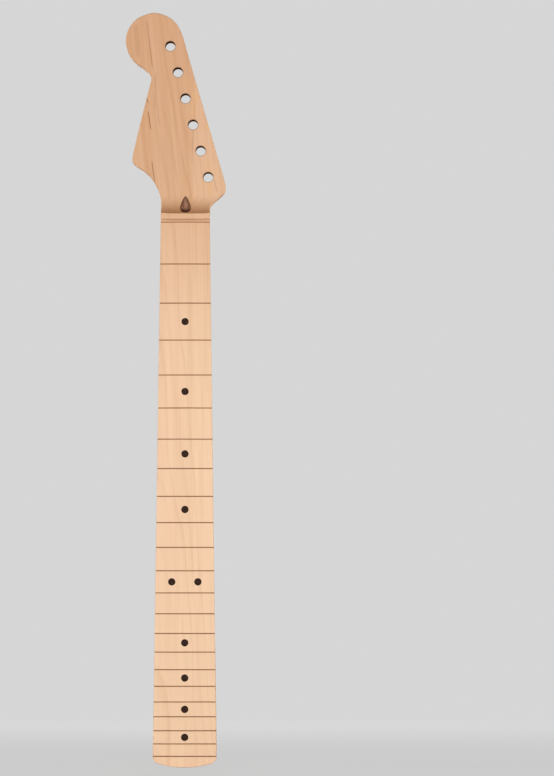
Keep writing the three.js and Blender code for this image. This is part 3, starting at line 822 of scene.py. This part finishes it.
def new_finish(name, roughness, metallic=0, specular=0.5):
    """A material with its plain values, and the place of each point on it in mm, for its patterns."""
    material = bpy.data.materials.new(name)
    material.use_nodes = True
    tree = material.node_tree
    values = {"Roughness": roughness, "Metallic": metallic, "Specular IOR Level": specular}
    for label, value in values.items():
        tree.nodes["Principled BSDF"].inputs[label].default_value = value
    place = add(tree, "ShaderNodeTexCoord", output="Object")
    return material, add(tree, "ShaderNodeVectorMath", {0: place, "Scale": 1 / mm}, operation="SCALE")


def dressed(material, colour, relief, depth, strength, roughness=None):
    """Leads a colour, a relief and any roughness into a material's shader."""
    tree = material.node_tree
    normal = add(tree, "ShaderNodeBump", {"Height": relief, "Distance": depth, "Strength": strength})
    flows = {"Base Color": colour, "Normal": normal, "Roughness": roughness}
    for label, flow in flows.items():
        if flow:
            tree.links.new(flow.socket, tree.nodes["Principled BSDF"].inputs[label])
    return material


# How large each pattern's spots are across and along the neck in mm, its seed and its detail, and then,
# for spots with an edge, the levels of noise between which the edge lies
patterns = {
    "ring sway across": (70, 420, 1, 2),
    "ring sway behind": (70, 420, 2, 2),
    "ring wobble": (9, 90, 3, 2),
    "bands": (8, 260, 4, 2),
    "fibres": (0.9, 80, 5, 3),
    "pores": (0.45, 7, 6, 2, 0.64, 0.78),
    "figure": (22, 5, 7, 2),
    "blush": (6, 150, 8, 2, 0.3, 0.9),
    "amber": (6, 18, 9, 2, 0.56, 0.76),
    "wall_spots": (2, 1.2, 10, 2),
    "stripe grain": (0.8, 46, 11, 3),
    "stripe veins": (0.7, 60, 12, 2, 0.56, 0.7),
    "stripe pores": (0.22, 5, 13, 2, 0.6, 0.72),
    "stripe bands": (2.2, 90, 16, 2),
    "plug grain": (0.9, 14, 14, 3),
    "plug pores": (0.25, 2.2, 15, 2, 0.58, 0.7),
    "inlay cloud": (1.6, 1.6, 21, 2, 0.3, 0.7),
    "inlay scratches": (0.15, 4, 22, 2),
    "steel stain": (3.5, 3.5, 31, 1),
}
seed_steps = (7.3, 3.1, 5.7)


def noise(place, across, along, seed, detail):
    """Noise drawn out along the neck, away from that of other seeds."""
    drawn = add(place.tree, "ShaderNodeVectorMath", [place, (across, across, along)], operation="DIVIDE")
    offset = tuple(seed * step for step in seed_steps)
    apart = add(place.tree, "ShaderNodeVectorMath", [drawn, offset], operation="ADD")
    inputs = {"Vector": apart, "Scale": 1.0, "Detail": detail}
    return add(place.tree, "ShaderNodeTexNoise", inputs, output="Fac")


def noise_by(value):
    """Noise that follows a single value, such as the distance from an axis."""
    inputs = {"W": value, "Scale": 1.0}
    return add(value.tree, "ShaderNodeTexNoise", inputs, output="Fac", noise_dimensions="1D")


def rise(value, low, high):
    """0 up to the low value, 1 from the high value, and a soft step between them."""
    inputs = [value, low, high, 0.0, 1.0]
    return add(value.tree, "ShaderNodeMapRange", inputs, interpolation_type="SMOOTHSTEP")


def pattern(place, name):
    across, along, seed, detail, *edge = patterns[name]
    spots = noise(place, across, along, seed, detail)
    return rise(spots, *edge) if edge else spots


def along_levels(value, levels):
    """A value that runs in straight lines through (place, level) pairs, with levels from 0 to 1."""
    low, high = levels[0][0], levels[-1][0]
    share = add(value.tree, "ShaderNodeMapRange", [value, float(low), float(high), 0.0, 1.0])
    ramp = add(value.tree, "ShaderNodeValToRGB", [share], output="Color")
    stops = ramp.socket.node.color_ramp.elements
    for i, (where, level) in enumerate(levels):
        at = (where - low) / (high - low)
        stop = stops[i] if i < len(stops) else stops.new(at)
        stop.position = at
        stop.color = (level, level, level, 1)
    return ramp


def blend(share, first, second):
    """A mix of two colours, which are inputs 6 and 7 of a Mix node. Its output 2 is a colour."""
    inputs = {0: share, 6: first, 7: second}
    return add(share.tree, "ShaderNodeMix", inputs, output=2, data_type="RGBA", clamp_factor=True)


def cut_by(place, name):
    """1 on the faces that were cut by a tool with this name noted on it."""
    return add(place.tree, "ShaderNodeAttribute", output="Fac", attribute_name=name)


def distance_from(place, start, end, stops=0):
    """Distance in X and Z to a line, or to the nearest of its even stops, and the share along it."""
    (start_x, start_z), (end_x, end_z) = start, end
    run_x, run_z = end_x - start_x, end_z - start_z
    x, _, z = parts(place)
    x, z = x - start_x, z - start_z
    share = (x * run_x + z * run_z) / (run_x ** 2 + run_z ** 2)
    share = add(place.tree, "ShaderNodeClamp", [share])
    if stops:
        share = (share * (stops - 1)).math("ROUND") / (stops - 1)
    return diagonal(x - share * run_x, z - share * run_z), share


# Raw maple: growth rings round a heart that lies behind the neck, long fibres, and its own dark marks
maple_light = srgb(252, 214, 178)
maple_dark = srgb(215, 165, 124)
maple_pink = srgb(243, 194, 166)
maple_amber = srgb(238, 182, 116)
maple_heel_painted_light = srgb(255, 227, 197)
maple_edge = srgb(230, 178, 130)
maple_shaft_edge = srgb(210, 154, 104)
maple_mark = srgb(150, 98, 62)
maple_sawn_and_shaded = srgb(158, 104, 62)
maple_slot_edge_shade = srgb(194, 122, 68)
maple_drilled_and_shaded = srgb(74, 44, 28)
maple_bored_and_shaded = srgb(120, 76, 46)
maple_slot = srgb(158, 96, 48)
maple_end_grain = srgb(196, 142, 98)

# Its tone along the neck, from the light colour at 0 to the dark one at 1
front_tone = [
    (-48, 0.06), (0, 0.0), (150, 0.04), (260, 0.1), (345, 0.24), (428, 0.6), (445, 0.78), (616, 0.96),
]
back_tone = [
    (-48, 0.06), (80, 0.03), (188, 0.16), (275, 0.32), (362, 0.54), (430, 0.42), (480, 0.28), (616, 0.32),
]

# How far each pattern shifts that tone, and how high or deep it lies in the surface
ring_shade, back_ring_shade = 0.2, 0.12
band_shade, head_band_loss = 0.5, 0.22
fibre_shade, pore_shade, figure_shade = 0.42, 0.26, 0.1
sapwood_shade, heartwood_shade, heartwood_edge_shade = 0.18, 0.24, 0.16
pore_depth, ring_height = 0.5, 0.3

# How far each stain, and each painted light or shade, covers the wood
blush_cover, warm_cover, throat_shade_cover, lip_light_cover = 0.3, 0.5, 0.42, 0.6
edge_grain_and_shade_cover, crease_highlight_cover = 0.85, 0.6
tuner_cover, bolt_cover, slot_edge_shade_cover, ramp_shade_cover = 0.6, 0.7, 0.42, 0.8
wall_spot_edge = (0.35, 0.7)

# Where things start and end, in mm along or across the neck
heel_light_fade, throat_shade_fade, head_fade = (45, 110), (395, 425), (425, 445)
figure_side, warm_side, sapwood_side = (2, 16), (-6, 4), (5.0, 8.5)
heartwood_step, heartwood_line = (-2, 3), (0, 7)
sapwood_waver, heartwood_waver = 8, 6
heartwood_reach = 60.0
heartwood_edge = [(430, -1.0), (457, -6.5), (503, -18.1), (545, -25.7), (616, -23.0)]
lip_fade, lip_run_in = 1, 8
ramp_shade_fade = 3
tuner_shade_width, bolt_stain, slot_edge_shade_width, board_fade = 0.9, 0.8, 0.7, 0.5
crease_highlight_width, crease_highlight_stops = 1.6, 28
nut_middle = (nut_z + nut_slot_width / 2) / mm
# Bands of painted shade, with some saw burn, at the nut slot's edges, and a faint tone on its floor
nut_low_kerf, nut_top_kerf = (0.55, 0.9), (1.1, 1.5)
nut_floor_shade, nut_low_kerf_shade, nut_top_kerf_shade = 0.08, 0.95, 0.12

# Growth rings, and the lean of the grain in the headstock
heart_x, heart_y, heart_lean = -25.0, 90.0, 0.03
ring_width, ring_sway, ring_wobble = 2.5, 26, 1.6
late_wood, ring_end, ring_weights = (0.45, 0.93), (0.95, 1.0), (0.35, 0.7)
ring_weight_run = 4
lean_start, grain_lean = 430.0, 0.1

# How far a surface turns to the back, straight to front or back, and sideways at the throat
back_turn, facing_start, facing_end, throat_shade_sides = (-0.25, 0.25), 0.5, 0.9, (0.02, 0.4)

# Dark marks in the wood of the headstock: start, end, width and strength, front and back
front_marks = [
    ((-35.0, 611.0), (-28.7, 561.6), 0.8, 0.5),
    ((-28.7, 561.6), (-22.5, 510.5), 0.7, 0.22),
    ((-34.7, 540.5), (-32.6, 533.9), 0.8, 0.75),
    ((-33.1, 528.1), (-30.4, 509.6), 0.8, 0.8),
    ((-29.9, 484.9), (-26.6, 460.3), 0.7, 0.7),
    ((-26.1, 564.3), (-27.1, 527.2), 1.4, 0.18),
    ((8.2, 540.5), (5.7, 486.7), 0.9, 0.2),
    ((24.7, 469.1), (28.1, 455.0), 0.8, 0.3),
    ((-44.0, 606.6), (-41.3, 572.2), 3.0, 0.2),
]
back_marks = [
    ((25.9, 496.1), (27.3, 452.0), 0.7, 0.6),
    ((7.8, 463.6), (10.4, 442.2), 0.7, 0.6),
    ((3.3, 510.7), (4.5, 500.0), 0.6, 0.35),
    ((-35.0, 527.6), (-35.7, 521.3), 0.6, 0.4),
    ((-24.8, 612.0), (-25.7, 539.1), 2.5, 0.12),
]
mark_core, mark_taper, mark_grain = 0.2, (0.35, 0.5), (0.3, 0.5)


def streak(place, start, end, width):
    """1 on a thin line from start to end, both X and Z in mm, and 0 beside it and towards its ends."""
    distance, share = distance_from(place, start, end)
    ends = rise((share - 0.5).math("ABSOLUTE"), *mark_taper)
    return 1 - rise(distance + ends * width, width * mark_core, width)


def rim(distance, radius, stain):
    """1 at the rim of a hole, fading over the width of its dark ring."""
    return 1 - rise(distance, radius / mm, radius / mm + stain)


def dark_hole_rims(place):
    """1 at the rims of the tuner holes, for painted shade from their walls, and of the bolt holes, where
    the drill left the wood dark.
    """
    x, _, z = parts(place)
    first = (first_hole_across / mm, (nut_z + first_hole_up) / mm)
    last = (last_hole_across / mm, (nut_z + last_hole_up) / mm)
    tuner, _ = distance_from(place, first, last, tuner_holes)
    across, along = (spacing / 2 / mm for spacing in bolt_spacing)
    bolt = diagonal(x.math("ABSOLUTE") - across, z.math("ABSOLUTE") - along)
    return rim(tuner, tuner_hole_radius, tuner_shade_width), rim(bolt, bolt_hole_radius, bolt_stain)


def slot_edge_shade(place):
    """1 beside the fret slots on the board, for the painted shade along their edges."""
    _, y, z = parts(place)
    nut, string = nut_z / mm, scale_length / mm
    rest = 1 - (nut - z) / string
    fret = (rest.math("LOGARITHM", 2.0) * -frets_per_octave).math("ROUND")
    off_slot = (z - fret_place(nut, string, fret)).math("ABSOLUTE")
    floor = (crown_y + fret_slot_depth) / mm
    on_board = (fret > 0.5) * (1 - (fret > fret_slots + 0.5)) * (1 - rise(y, floor, floor + board_fade))
    return rim(off_slot, fret_slot_width / 2, slot_edge_shade_width) * on_board


def crease_highlight(place):
    """1 along the edge where the headstock's flat back meets the shaft, for a painted highlight along
    that crease.
    """
    x, _, z = parts(place)
    across = np.linspace(flat_line[0, 0], flat_line[-1, 0], crease_highlight_stops)
    heights = nut_z + np.interp(across, flat_line[:, 0], flat_line[:, 1])
    levels = [(side / mm, height / neck_high.z) for side, height in zip(across, heights)]
    above = z - along_levels(x, levels) * (neck_high.z / mm)
    return 1 - rise((above - crease_highlight_width / 2).math("ABSOLUTE"), crease_highlight_width / 4, crease_highlight_width)


def growth_rings(place):
    """The dark late wood of each ring, where the neck is cut through it."""
    x, y, z = parts(place)
    off_x = x - heart_x + z * heart_lean + (pattern(place, "ring sway across") - 0.5) * ring_sway
    off_y = y - heart_y + (pattern(place, "ring sway behind") - 0.5) * ring_sway
    radius = diagonal(off_x, off_y) + (pattern(place, "ring wobble") - 0.5) * ring_wobble
    ring = (radius / ring_width).math("FRACT")
    late = rise(ring, *late_wood) * (1 - rise(ring, *ring_end))
    return late * rise(noise_by(radius / ring_weight_run), *ring_weights)


def nut_seat_shade(z):
    """Painted shade at both edges of the nut slot, with some saw burn, the lower edge much darker, and a
    faint tone on its floor.
    """
    low_kerf = rise(nut_middle - z, *nut_low_kerf) * nut_low_kerf_shade
    top_kerf = rise(z - nut_middle, *nut_top_kerf) * nut_top_kerf_shade
    return strongest([low_kerf, top_kerf, nut_floor_shade])


def maple_finish():
    material, place = new_finish("raw_maple", 0.7, specular=0.1)
    x, y, z = parts(place)
    leaning = vector(place.tree, x + (z - lean_start).math("MAXIMUM", 0.0) * grain_lean, y, z)
    rings = growth_rings(leaning)
    names = ("bands", "fibres", "pores", "blush", "amber")
    bands, fibres, pores, blush, amber = (pattern(leaning, name) for name in names)
    figure = (pattern(place, "figure") - 0.5) * figure_shade
    edge_on, outward, end_on = parts(add(place.tree, "ShaderNodeNewGeometry", output="Normal"))
    edge_on, end_on = edge_on * edge_on, end_on * end_on
    back = rise(outward, *back_turn)
    front = 1 - back
    head = rise(z, *head_fade)

    # The tone of the wood
    tone = along_levels(z, front_tone) * front + along_levels(z, back_tone) * back
    tone = tone + rings * (back * back_ring_shade + ring_shade)
    tone = tone + (bands - 0.5) * (band_shade - head * head_band_loss)
    tone = tone + (fibres - 0.5) * fibre_shade + pores * pore_shade + figure * rise(x, *figure_side)
    sapwood = rise(x + (bands - 0.5) * sapwood_waver, *sapwood_side)
    tone = tone - sapwood * front * head * sapwood_shade
    edge_levels = [(height, edge / heartwood_reach + 1) for height, edge in heartwood_edge]
    heart_edge = (along_levels(z, edge_levels) - 1) * heartwood_reach
    past_edge = x - heart_edge + (bands - 0.5) * heartwood_waver
    line = 1 - rise(past_edge.math("ABSOLUTE"), *heartwood_line)
    heartwood = rise(past_edge, *heartwood_step) * heartwood_shade + line * heartwood_edge_shade
    tone = tone + heartwood * back * head

    # Its colour, what tints it, and the light and shade painted into it
    # The back of the heel is painted paler than the shaft: painted light, fading out up the neck.
    heel = 1 - rise(z, *heel_light_fade)
    colour = blend(tone, blend(heel * back, maple_light, maple_heel_painted_light), maple_dark)
    colour = blend(blush * blush_cover, colour, maple_pink)
    warm = amber * rise(x, *warm_side) * front * head * warm_cover
    # The lip under the board's overhang, at the back, is tinted orange: painted light, standing in for
    # how it is lit beside the heel block's shadow.
    lip_y, lip_z = underside_y / mm, straight_start_z / mm
    lip = (1 - rise(y, lip_y, lip_y + lip_fade)) * (1 - rise(z, lip_z - lip_run_in, lip_z)) * back
    # Amber on the throat's sides under the headstock's flat back: painted shade on its sweep.
    throat = rise(z, *throat_shade_fade) * rise(edge_on, *throat_shade_sides) * back * throat_shade_cover
    colour = blend(strongest([warm, throat, lip * lip_light_cover]), colour, maple_amber)
    # Faces turned sideways go darker and more orange: partly the close grain of the sides, partly painted
    # shade on the walls and rounded edges.
    colour = blend(edge_on * edge_grain_and_shade_cover, colour, blend(head, maple_shaft_edge, maple_edge))
    # A pale line along the edge of the headstock's flat back: a painted highlight on that crease.
    colour = blend(crease_highlight(place) * back * head * crease_highlight_cover, colour, maple_light)

    # Marks of growth, saw and drill, and the painted shade at the tuner holes, fret slots, ramp and nut
    # slot
    faces_front = 1 - rise(outward, -facing_end, -facing_start)
    faces_back = rise(outward, facing_start, facing_end)
    marks = [
        streak(place, start, end, width) * facing * strength
        for facing, rows in ((faces_front, front_marks), (faces_back, back_marks))
        for start, end, width, strength in rows
    ]
    colour = blend(strongest(marks) * rise(fibres, *mark_grain), colour, maple_mark)
    nut_seat = cut_by(place, "nut_seat")
    colour = blend(end_on * (1 - nut_seat), colour, maple_end_grain)
    # Dark rims: painted shade round the tuner holes, where their walls lie in shade, and the drill's
    # stain round the bolt holes.
    tuner_rims, bolt_rims = dark_hole_rims(place)
    rims = strongest([tuner_rims * tuner_cover, bolt_rims * back * bolt_cover])
    colour = blend(rims, colour, maple_drilled_and_shaded)
    # Brown bands beside the fret slots: painted shade along their edges.
    colour = blend(slot_edge_shade(place) * slot_edge_shade_cover, colour, maple_slot_edge_shade)
    # The steep foot of the ramp above the nut's shelf is darkened: painted shade, with some of the darker
    # end grain cut there.
    ramp_end = ramp_end_z / mm
    ramp = rise(z, nut_middle, nut_middle + ramp_shade_fade) * (1 - rise(z, ramp_end, ramp_end + ramp_shade_fade))
    colour = blend(end_on * ramp * front * ramp_shade_cover, colour, maple_sawn_and_shaded)
    # The nut slot's edges and floor: painted shade, with some saw burn at the edges.
    colour = blend(nut_seat * nut_seat_shade(z), colour, maple_sawn_and_shaded)
    relief = fibres + pores * -pore_depth + rings * ring_height
    rough = fibres * 0.14 + 0.66
    return dressed(material, colour, relief, depth=0.03 * mm, strength=0.5, roughness=rough)


def cut_maple_finish():
    """The walls of holes and fret slots: end grain, darkened in the holes as painted shade for their
    depth, and brown in the slots where the saw scorched them.
    """
    material, place = new_finish("cut_maple", 0.9, specular=0.0)
    # The hole walls go dark in spots: painted shade in the holes' depth.
    wall_spots = pattern(place, "wall_spots")
    colour = blend(rise(wall_spots, *wall_spot_edge), maple_bored_and_shaded, maple_drilled_and_shaded)
    colour = blend(cut_by(place, "sawn"), colour, maple_slot)
    return dressed(material, colour, wall_spots, depth=0.05 * mm, strength=0.6)


# Walnut: its roughness with the swing that its grain gives it, and the stripe's tone along the neck
walnut_roughness, walnut_swing = 0.56, 0.2
stripe_dark = srgb(142, 95, 68)
stripe_pale = srgb(196, 148, 112)
stripe_vein = srgb(108, 68, 46)
stripe_tone = [
    (27, 0.55), (54, 0.62), (95, 0.98), (179, 0.92), (200, 0.72), (242, 0.4), (347, 0.4), (388, 0.25),
]
stripe_edge = (2.1, 3.0)
stripe_grain_shade, stripe_band_shade, stripe_edge_shade = 1.1, 1.2, 0.5
vein_cover, stripe_pore_cover = 0.4, 0.35
plug_dark = srgb(122, 78, 52)
plug_pale = srgb(180, 134, 110)
plug_low_end_shade = srgb(56, 25, 10)
plug_shade_span, plug_rim = (5.2, 9.4), (1.7, 0.2)
plug_heart_x, plug_heart_width = 0.3, (0.4, 2.2)
plug_base_shade, plug_heart_shade, plug_grain_shade = 0.2, 0.5, 1.6
plug_rim_cover, plug_shade_cover, plug_pore_cover = 0.5, 0.95, 0.3


def stripe_finish():
    material, place = new_finish("walnut_stripe", 0.6, specular=0.15)
    x, _, z = parts(place)
    names = ("grain", "veins", "pores", "bands")
    grain, veins, pores, bands = (pattern(place, "stripe " + name) for name in names)
    edges = rise(x.math("ABSOLUTE"), *stripe_edge)
    tone = along_levels(z, stripe_tone) + (grain - 0.5) * stripe_grain_shade
    tone = tone + (bands - 0.5) * stripe_band_shade - edges * stripe_edge_shade
    colour = blend(tone, stripe_dark, stripe_pale)
    colour = blend(veins * vein_cover + pores * stripe_pore_cover, colour, stripe_vein)
    rough = grain * walnut_swing + walnut_roughness
    return dressed(material, colour, grain - pores, depth=0.04 * mm, strength=0.6, roughness=rough)


def plug_finish():
    """Streaked walnut, dark round its rim, and darkest at its low end, where shade is painted at the foot
    of the ramp.
    """
    material, place = new_finish("walnut_plug", 0.6, specular=0.15)
    x, y, z = parts(place)
    grain, pores = pattern(place, "plug grain"), pattern(place, "plug pores")
    from_axis = diagonal(x, y - plug_y / mm)
    rim_start, rim_end = (plug_radius / mm - inset for inset in plug_rim)
    # Its low end is darkened: painted shade at the foot of the ramp.
    low_end_shade = 1 - rise(z, *[plug_start_z / mm + height for height in plug_shade_span])
    heart = 1 - rise((x - plug_heart_x).math("ABSOLUTE"), *plug_heart_width)
    tone = heart * plug_heart_shade + plug_base_shade + (grain - 0.5) * plug_grain_shade
    dark_rim = rise(from_axis, rim_start, rim_end) * plug_rim_cover
    rim_pores_and_shade = strongest([dark_rim, low_end_shade * plug_shade_cover, pores * plug_pore_cover])
    colour = blend(rim_pores_and_shade, blend(tone, plug_dark, plug_pale), plug_low_end_shade)
    rough = grain * walnut_swing + walnut_roughness
    return dressed(material, colour, grain - pores, depth=0.05 * mm, strength=0.6, roughness=rough)


# Inlays and metal
inlay_black, inlay_grey = srgb(35, 20, 12), srgb(60, 37, 25)
barrel_clean, barrel_stained = srgb(150, 141, 129), srgb(104, 90, 78)
lathe_rings_per_mm, lathe_edge, lathe_shade, stain_middle = 7, (0.3, 0.7), 0.55, 0.35
drawing_marks, drawing_stain, stain_edge = (0.12, 9), (2.5, 6), (0.4, 0.75)


def dot_finish():
    material, place = new_finish("black_inlay", 0.5, specular=0.08)
    scratches = pattern(place, "inlay scratches")
    colour = blend(pattern(place, "inlay cloud"), inlay_black, inlay_grey)
    rough = scratches * 0.2 + 0.45
    return dressed(material, colour, scratches, depth=0.01 * mm, strength=0.4, roughness=rough)


def turned_steel_finish():
    """The end of the barrel: fine rings from the lathe, dulled by handling."""
    material, place = new_finish("turned_steel", 0.42, 1)
    x, _, z = parts(place)
    lathe = noise_by(diagonal(x, z - barrel_z / mm) * lathe_rings_per_mm)
    shade = rise(lathe, *lathe_edge) * lathe_shade + (pattern(place, "steel stain") - stain_middle)
    colour = blend(shade, barrel_clean, barrel_stained)
    rough = lathe * 0.22 + 0.46
    return dressed(material, colour, lathe, depth=0.02 * mm, strength=0.5, roughness=rough)


def drawn_metal(name, clean, stained, roughness, seed):
    """Bar stock: marks along the neck from drawing, and a thin stain."""
    material, place = new_finish(name, roughness, 1)
    marks = noise(place, *drawing_marks, seed, 2)
    stain = noise(place, *drawing_stain, seed + 1, 4)
    colour = blend(rise(stain, *stain_edge), clean, stained)
    rough = marks * 0.2 + (roughness - 0.1)
    return dressed(material, colour, marks, depth=0.01 * mm, strength=0.5, roughness=rough)


raw_maple = maple_finish()
cut_maple = cut_maple_finish()
walnut_stripe = stripe_finish()
walnut_plug = plug_finish()
black_inlay = dot_finish()
turned_steel = turned_steel_finish()
drawn_steel = drawn_metal("drawn_steel", srgb(172, 171, 167), srgb(150, 145, 138), 0.4, 41)
black_oxide_steel = drawn_metal("black_oxide_steel", srgb(74, 72, 70), srgb(48, 44, 42), 0.42, 43)
machined_brass = drawn_metal("machined_brass", srgb(204, 168, 96), srgb(176, 138, 76), 0.32, 45)


# The pieces

board_sizes = {
    "Scale length": scale_length,
    "Nut height": nut_z,
    "Nut to end": nut_to_end,
    "Width at nut": nut_width,
    "Width at end": neck_end_width,
    "Crown radius at nut": crown_radius_at_nut,
    "Crown radius at end": crown_radius_at_end,
    "Dots": dots,
    "Dot radius": dot_radius,
    "Dot pair spacing": dot_pair_spacing,
    "Side dot radius": side_dot_radius,
    "Side dot pair spacing": side_dot_pair_spacing,
}
hole_sizes = {
    "Frets": fret_slots,
    "Fret slot width": fret_slot_width,
    "Fret slot depth": fret_slot_depth,
    "Nut slot width": nut_slot_width,
    "Tuner holes": tuner_holes,
    "Tuner hole radius": tuner_hole_radius,
    "First hole across": first_hole_across,
    "First hole up": first_hole_up,
    "Last hole across": last_hole_across,
    "Last hole up": last_hole_up,
    "Bolts across": bolt_spacing[0],
    "Bolts along": bolt_spacing[1],
    "Bolt hole radius": bolt_hole_radius,
    "Pocket radius": barrel_radius + seat_gap,
    "Key hole radius": key_hole_radius,
}
inlay_sizes = {
    "Fit": snug,
    "Channel width": channel_width,
    "Plug radius": plug_radius,
}
housing_sizes = {
    "Barrel radius": barrel_radius,
    "Rim chamfer": rim_chamfer,
    "Mark radius": centre_mark_radius,
    "Wheel slot": wheel_slot_width,
    "Rod bore radius": rod_bore_radius,
}
neck_sizes = {**board_sizes, **hole_sizes, **inlay_sizes}


def nodes_named(start):
    return [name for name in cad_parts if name.startswith(start)]


blank = blank_mesh()
pieces = [
    ("neck_maple", maple_recipe, neck_sizes, [raw_maple, cut_maple], blank, "maple", ["maple_neck"]),
    ("face_dots", face_dots_recipe, board_sizes, [black_inlay], blank, "dot", nodes_named("face_dot")),
    ("side_dots", side_dots_recipe, board_sizes, [black_inlay], blank, "dot", nodes_named("side_dot")),
    ("stripe", stripe_recipe, inlay_sizes, [walnut_stripe], blank, "walnut", ["back_stripe"]),
    ("plug", plug_recipe, inlay_sizes, [walnut_plug], blank, "walnut", ["headstock_plug"]),
    ("housing", housing_recipe, housing_sizes, [turned_steel], None, "steel", ["adjuster_housing"]),
]
for name, recipe, sizes, finishes, start, slot_name, nodes in pieces:
    piece = grown(name, recipe, sizes, finishes, start)
    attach(piece, "neck")
    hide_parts(*nodes)

metal_nodes = {
    "adjusting_rod": black_oxide_steel,
    "adjuster_worm": black_oxide_steel,
    "adjuster_wheel": machined_brass,
    "rod_bar": drawn_steel,
    "rod_head_block": drawn_steel,
    "rod_heel_block": drawn_steel,
}
for node, finish in metal_nodes.items():
    bpy.data.objects[node].material_slots[0].material = finish


# Camera, where the one that took the photograph stood

camera_distance = 4.0
camera_x, camera_z = 0.08034, 0.07338
camera_rise = 0.052360
camera_roll = 0.000165
camera_lens = 212.70

eye = placed("camera", bpy.data.cameras.new("camera"))
eye.data.lens = camera_lens
eye.location = (camera_x, crown_y - camera_distance, camera_z)
look = Matrix.Rotation(quarter_turn + camera_rise, 4, "X") @ Matrix.Rotation(camera_roll, 4, "Z")
eye.rotation_euler = look.to_euler()
bpy.context.scene.camera = eye


# Floor, light and backdrop

floor_colour = srgb(214, 214, 214)
floor_radius = 6.0
floor_drop = 0.5 * mm
fade_start, fade_end = 0.5, 2.2
soft_white = (1, 1, 1, 1)
room_strength = 0.2
floor_glow = 0.75
lamp_size = 1.6
lamp_distance = 2.6
lamp_power = 46.0
lamp_target = Vector((0, 0, 0.24))

# Name, direction in degrees round the neck, rise, and share of the power
lamps = [
    ("front_lamp", 0, 0.1, 0.96),
    ("back_lamp", 180, 0.05, 1.12),
    ("left_lamp", -85, 0.15, 0.5),
    ("right_lamp", 85, 0.15, 0.5),
]


def emptied(holder):
    """The node tree of a world or material, without the nodes that it comes with."""
    holder.use_nodes = True
    holder.node_tree.nodes.clear()
    return holder.node_tree


def seen_directly(tree):
    """1 for what the camera sees straight, in a mirror or through glass."""
    rays = tree.nodes.new("ShaderNodeLightPath")
    kinds = ["Is Camera Ray", "Is Glossy Ray", "Is Transmission Ray"]
    return strongest([Flow(rays.outputs[kind]) for kind in kinds])


world = bpy.data.worlds.new("studio")
bpy.context.scene.world = world
bpy.context.scene.view_settings.view_transform = "Standard"
tree = emptied(world)
seen = add(tree, "ShaderNodeBackground", {"Color": floor_colour, "Strength": 1.0})
room = add(tree, "ShaderNodeBackground", {"Color": soft_white, "Strength": room_strength})
both = add(tree, "ShaderNodeMixShader", [seen_directly(tree), room, seen])
add(tree, "ShaderNodeOutputWorld", {"Surface": both})

floor_material = bpy.data.materials.new("pale_floor")
tree = emptied(floor_material)
place = add(tree, "ShaderNodeTexCoord", output="Object")
reach = add(tree, "ShaderNodeVectorMath", [place], output="Value", operation="LENGTH")
matt = add(tree, "ShaderNodeBsdfDiffuse", {"Color": floor_colour})
glow = add(tree, "ShaderNodeEmission", {"Color": floor_colour, "Strength": 1.0})
lit = add(tree, "ShaderNodeMixShader", [seen_directly(tree) * floor_glow, matt, glow])
clear = add(tree, "ShaderNodeBsdfTransparent")
mixed = add(tree, "ShaderNodeMixShader", [rise(reach, fade_start, fade_end), lit, clear])
add(tree, "ShaderNodeOutputMaterial", {"Surface": mixed})

disc = bmesh.new()
bmesh.ops.create_circle(disc, cap_ends=True, segments=hole_sides, radius=floor_radius)
floor_mesh = bpy.data.meshes.new("floor")
disc.to_mesh(floor_mesh)
disc.free()
floor_mesh.materials.append(floor_material)
floor = placed("floor", floor_mesh)
floor.location.z = neck_end_z - floor_drop

for name, azimuth, lamp_rise, share in lamps:
    light = bpy.data.lights.new(name, "AREA")
    light.shape = "DISK"
    light.size = lamp_size
    light.energy = lamp_power * share
    angle = azimuth * degree
    away = Vector((math.sin(angle), -math.cos(angle), lamp_rise)).normalized()
    lamp = placed(name, light)
    lamp.location = lamp_target + away * lamp_distance
    lamp.rotation_euler = away.to_track_quat("Z", "Y").to_euler()
